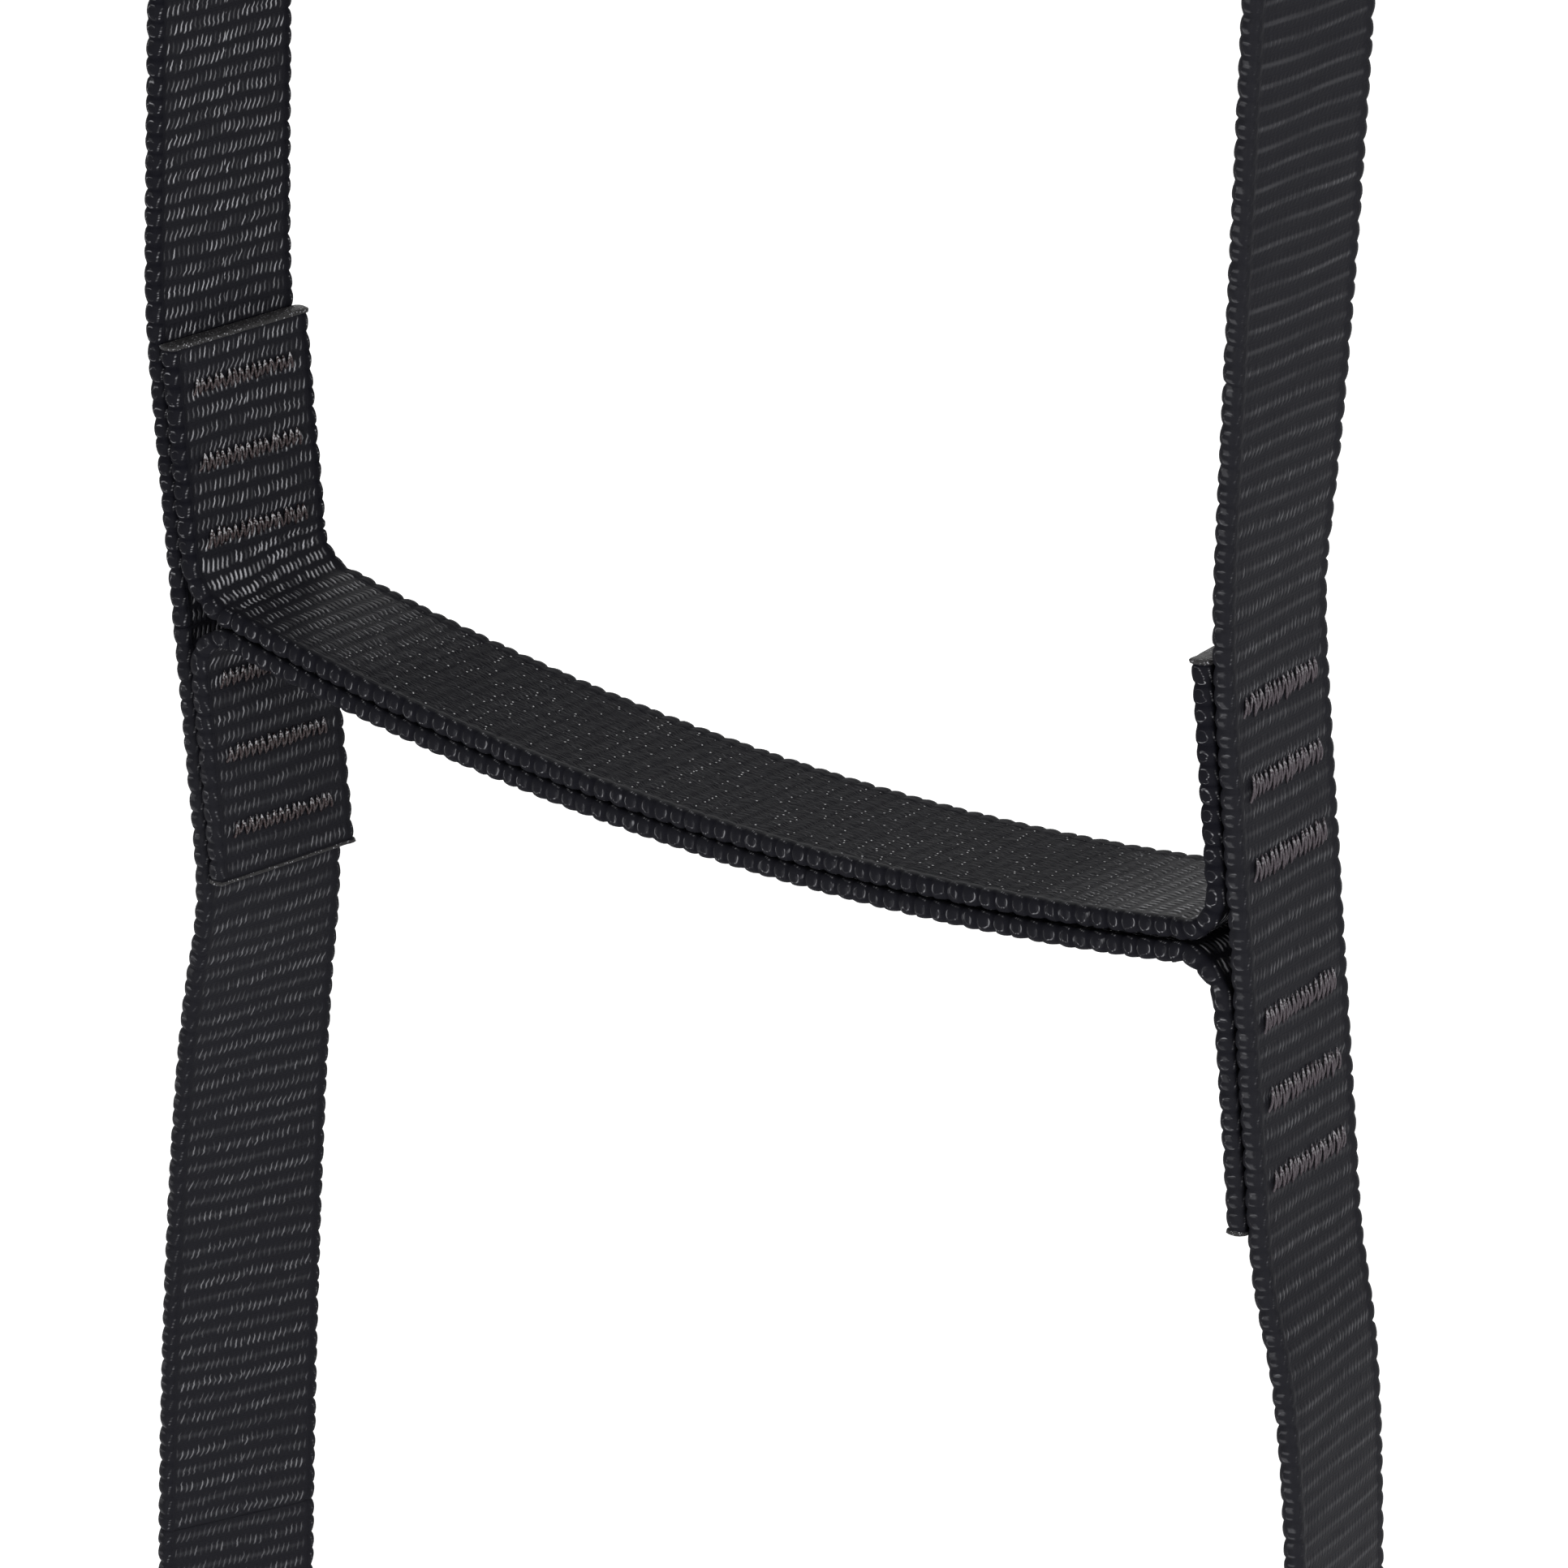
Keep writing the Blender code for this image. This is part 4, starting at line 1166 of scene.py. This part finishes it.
class EtrierBarTacks(bpy.types.Operator):
    """Sew the bar tacks of the steps and of the eye"""

    bl_idname = "etrier.bar_tacks"
    bl_label = "Bar tacks"

    def execute(self, context):
        for step in range(1, STEP_COUNT + 1):
            for ply in PLIES:
                for side_name, side in SIDES.items():
                    node = f"step_{step}_{ply}_{side_name}_tacks"
                    out = Vector((side * math.cos(STRAP_TOE), math.sin(STRAP_TOE), 0))
                    across = Vector((-side * math.sin(STRAP_TOE), math.cos(STRAP_TOE), 0))
                    seam = Vector((side * STRAP_HALF_WIDTH, 0, 0)) - out * PLY_PITCH / 2
                    heights = tack_heights(step, ply)
                    up = Vector((-math.sin(STRAP_LEAN), 0, math.cos(STRAP_LEAN)))
                    self.sew(context, node, seam, (out, across, up), heights, body_at(step))
        ways = Vector((1, 0, 0)), Vector((0, 1, 0)), Vector((0, 0, 1))
        heights = eye_tack_heights()
        self.sew(context, "eye_tacks", Vector((0, 0, 0)), ways, heights, "head")
        return {"FINISHED"}

    def sew(self, context, node, seam, directions, heights, body):
        """Lay the stitches of bars at some heights, on both faces of two plies."""
        settings = context.scene.etrier_thread
        out, across, up = directions
        face = (PLY_PITCH + WEBBING_THICKNESS) / 2
        points, ways, worn = [], [], []
        for height in heights:
            for way in (out, -out):
                lean = Vector((float(lean_shift(height)), 0, height))
                middle = seam + way * face + lean
                for end in (-1, 1):
                    points.append(middle + across * end * BAR_WIDTH / 2)
                    ways.append(way)
                    worn.append(float(way == out))
        mesh = bpy.data.meshes.new(f"{node}_stitches")
        edges = [(at, at + 1) for at in range(0, len(points), 2)]
        mesh.from_pydata(points, edges, [])
        for name, vectors in (("up", [up] * len(points)), ("out", ways)):
            flat = [value for vector in vectors for value in vector]
            attribute = mesh.attributes.new(name, "FLOAT_VECTOR", "POINT")
            attribute.data.foreach_set("vector", flat)
        mesh.attributes.new("worn", "FLOAT", "POINT").data.foreach_set("value", worn)
        thing = bpy.data.objects.new(f"{node}_stitches", mesh)
        context.scene.collection.objects.link(thing)
        values = {
            "Points": round(BAR_WIDTH / settings.stitch_pitch) * POINTS_PER_STITCH + 1,
            "Stitch Pitch": settings.stitch_pitch,
            "Height": BAR_HEIGHT,
            "Bulge": settings.bulge,
            "Thread Radius": settings.diameter / 2,
            "Seed": STITCH_SEED,
            "Thread": kept(
                bpy.data.materials, "Bonded polyamide thread", thread_material, settings
            ),
        }
        grown(thing, kept(bpy.data.node_groups, "Bar tack", stitch_tree), values)
        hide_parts(node)
        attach(thing, body)


def sees_background(add):
    """1 for the rays that show the background: from the camera, in gloss or through glass."""
    rays = add("ShaderNodeLightPath", take=None).outputs
    mirrored = add("MAXIMUM", (rays["Is Glossy Ray"], rays["Is Transmission Ray"]))
    return add("MAXIMUM", (rays["Is Camera Ray"], mirrored))


class EtrierStudioSet(bpy.types.Operator):
    """Set up the floor, the lights and the camera"""

    bl_idname = "etrier.studio"
    bl_label = "Studio"

    def execute(self, context):
        settings = context.scene.etrier_studio
        self.lay_floor(context, settings)
        self.set_camera(context, settings)
        self.set_lights(context, settings)
        context.scene.view_settings.view_transform = "Standard"
        return {"FINISHED"}

    def lay_floor(self, context, settings):
        """A pale round floor that looks white and keeps the ladder's shadow."""
        low = CAD_BOX[0].z - settings.floor_drop
        turns = [2 * math.pi * part / FLOOR_CORNERS for part in range(FLOOR_CORNERS)]
        rim = [
            (FLOOR_RADIUS * math.cos(turn), FLOOR_RADIUS * math.sin(turn), low) for turn in turns
        ]
        mesh = bpy.data.meshes.new("studio_floor")
        mesh.from_pydata(rim, [], [list(range(FLOOR_CORNERS))])
        floor = bpy.data.objects.new("studio_floor", mesh)
        context.scene.collection.objects.link(floor)
        material = new_material("Studio floor")
        add = partial(add_node, material.node_tree)
        matt = add("ShaderNodeBsdfDiffuse", {"Color": (*settings.floor_colour, 1)})
        white = add("ShaderNodeEmission", {"Color": (1, 1, 1, 1), "Strength": FLOOR_GLOW})
        lit = add("ShaderNodeAddShader", (matt, white))
        surface = add("ShaderNodeMixShader", (sees_background(add), matt, lit))
        add("ShaderNodeOutputMaterial", {"Surface": surface})
        mesh.materials.append(material)

    def set_camera(self, context, settings):
        """A long lens that looks down on the second step from its right, in front of it."""
        turn, tilt = settings.azimuth, settings.elevation
        right = Vector((math.cos(turn), math.sin(turn), 0))
        ahead = Vector(
            (-math.sin(turn) * math.cos(tilt), math.cos(turn) * math.cos(tilt), -math.sin(tilt))
        )
        up = right.cross(ahead)
        target = Vector((0, 0, step_level(2)))
        scale = settings.distance * SENSOR_WIDTH / settings.lens / IMAGE_SIDE
        aside, above = (AIM[0] - IMAGE_SIDE / 2) * scale, (IMAGE_SIDE / 2 - AIM[1]) * scale
        place = target - right * aside - up * above - ahead * settings.distance
        data = bpy.data.cameras.new("studio_camera")
        data.lens, data.sensor_width = settings.lens, SENSOR_WIDTH
        data.clip_start, data.clip_end = CLIP_RANGE
        camera = bpy.data.objects.new("studio_camera", data)
        camera.matrix_world = Matrix.Translation(place) @ Matrix(
            (right, up, -ahead)
        ).transposed().to_4x4()
        context.scene.collection.objects.link(camera)
        context.scene.camera = camera

    def set_lights(self, context, settings):
        """Large soft lamps and an even world that looks white itself."""
        target = Vector((0, 0, step_level(2)))
        for name, place, size, share in LAMPS:
            data = bpy.data.lights.new(name, "AREA")
            data.shape, data.size, data.energy = "DISK", size, settings.key_power * share
            lamp = bpy.data.objects.new(name, data)
            lamp.location = place
            lamp.rotation_euler = (target - lamp.location).to_track_quat("-Z", "Y").to_euler()
            context.scene.collection.objects.link(lamp)
        world = bpy.data.worlds.new("studio_world")
        world.use_nodes = True
        world.node_tree.nodes.clear()
        add = partial(add_node, world.node_tree)
        level = {"Value": sees_background(add), "To Min": settings.fill_level}
        strength = add("ShaderNodeMapRange", level)
        sky = add("ShaderNodeBackground", {"Color": (1, 1, 1, 1), "Strength": strength})
        add("ShaderNodeOutputWorld", {"Surface": sky})
        context.scene.world = world


class EtrierPanel(bpy.types.Panel):
    """Pieces and settings of the etrier"""

    bl_idname = "VIEW3D_PT_etrier"
    bl_label = "Etrier"
    bl_space_type = "VIEW_3D"
    bl_region_type = "UI"
    bl_category = "Etrier"

    def draw(self, context):
        for operator in OPERATORS:
            self.layout.operator(operator.bl_idname)
        for name, group in SETTINGS.items():
            column = self.layout.column()
            for setting in group.__annotations__:
                column.prop(getattr(context.scene, name), setting)


SETTINGS = {
    "etrier_webbing": EtrierWebbing,
    "etrier_thread": EtrierThread,
    "etrier_studio": EtrierStudio,
}
OPERATORS = (EtrierSideWebbing, EtrierSteps, EtrierBarTacks, EtrierStudioSet)


def register():
    """Register the settings, the operators and the panel."""
    for each in (*SETTINGS.values(), *OPERATORS, EtrierPanel):
        bpy.utils.register_class(each)
    for name, group in SETTINGS.items():
        setattr(bpy.types.Scene, name, bpy.props.PointerProperty(type=group))


def unregister():
    """Take away what register added."""
    for name in SETTINGS:
        delattr(bpy.types.Scene, name)
    for each in (EtrierPanel, *reversed(OPERATORS), *reversed(SETTINGS.values())):
        bpy.utils.unregister_class(each)


def main():
    """Make every piece and the studio."""
    register()
    bpy.ops.etrier.side_webbing()
    bpy.ops.etrier.steps()
    bpy.ops.etrier.bar_tacks()
    bpy.ops.etrier.studio()


if __name__ == "__main__":
    main()
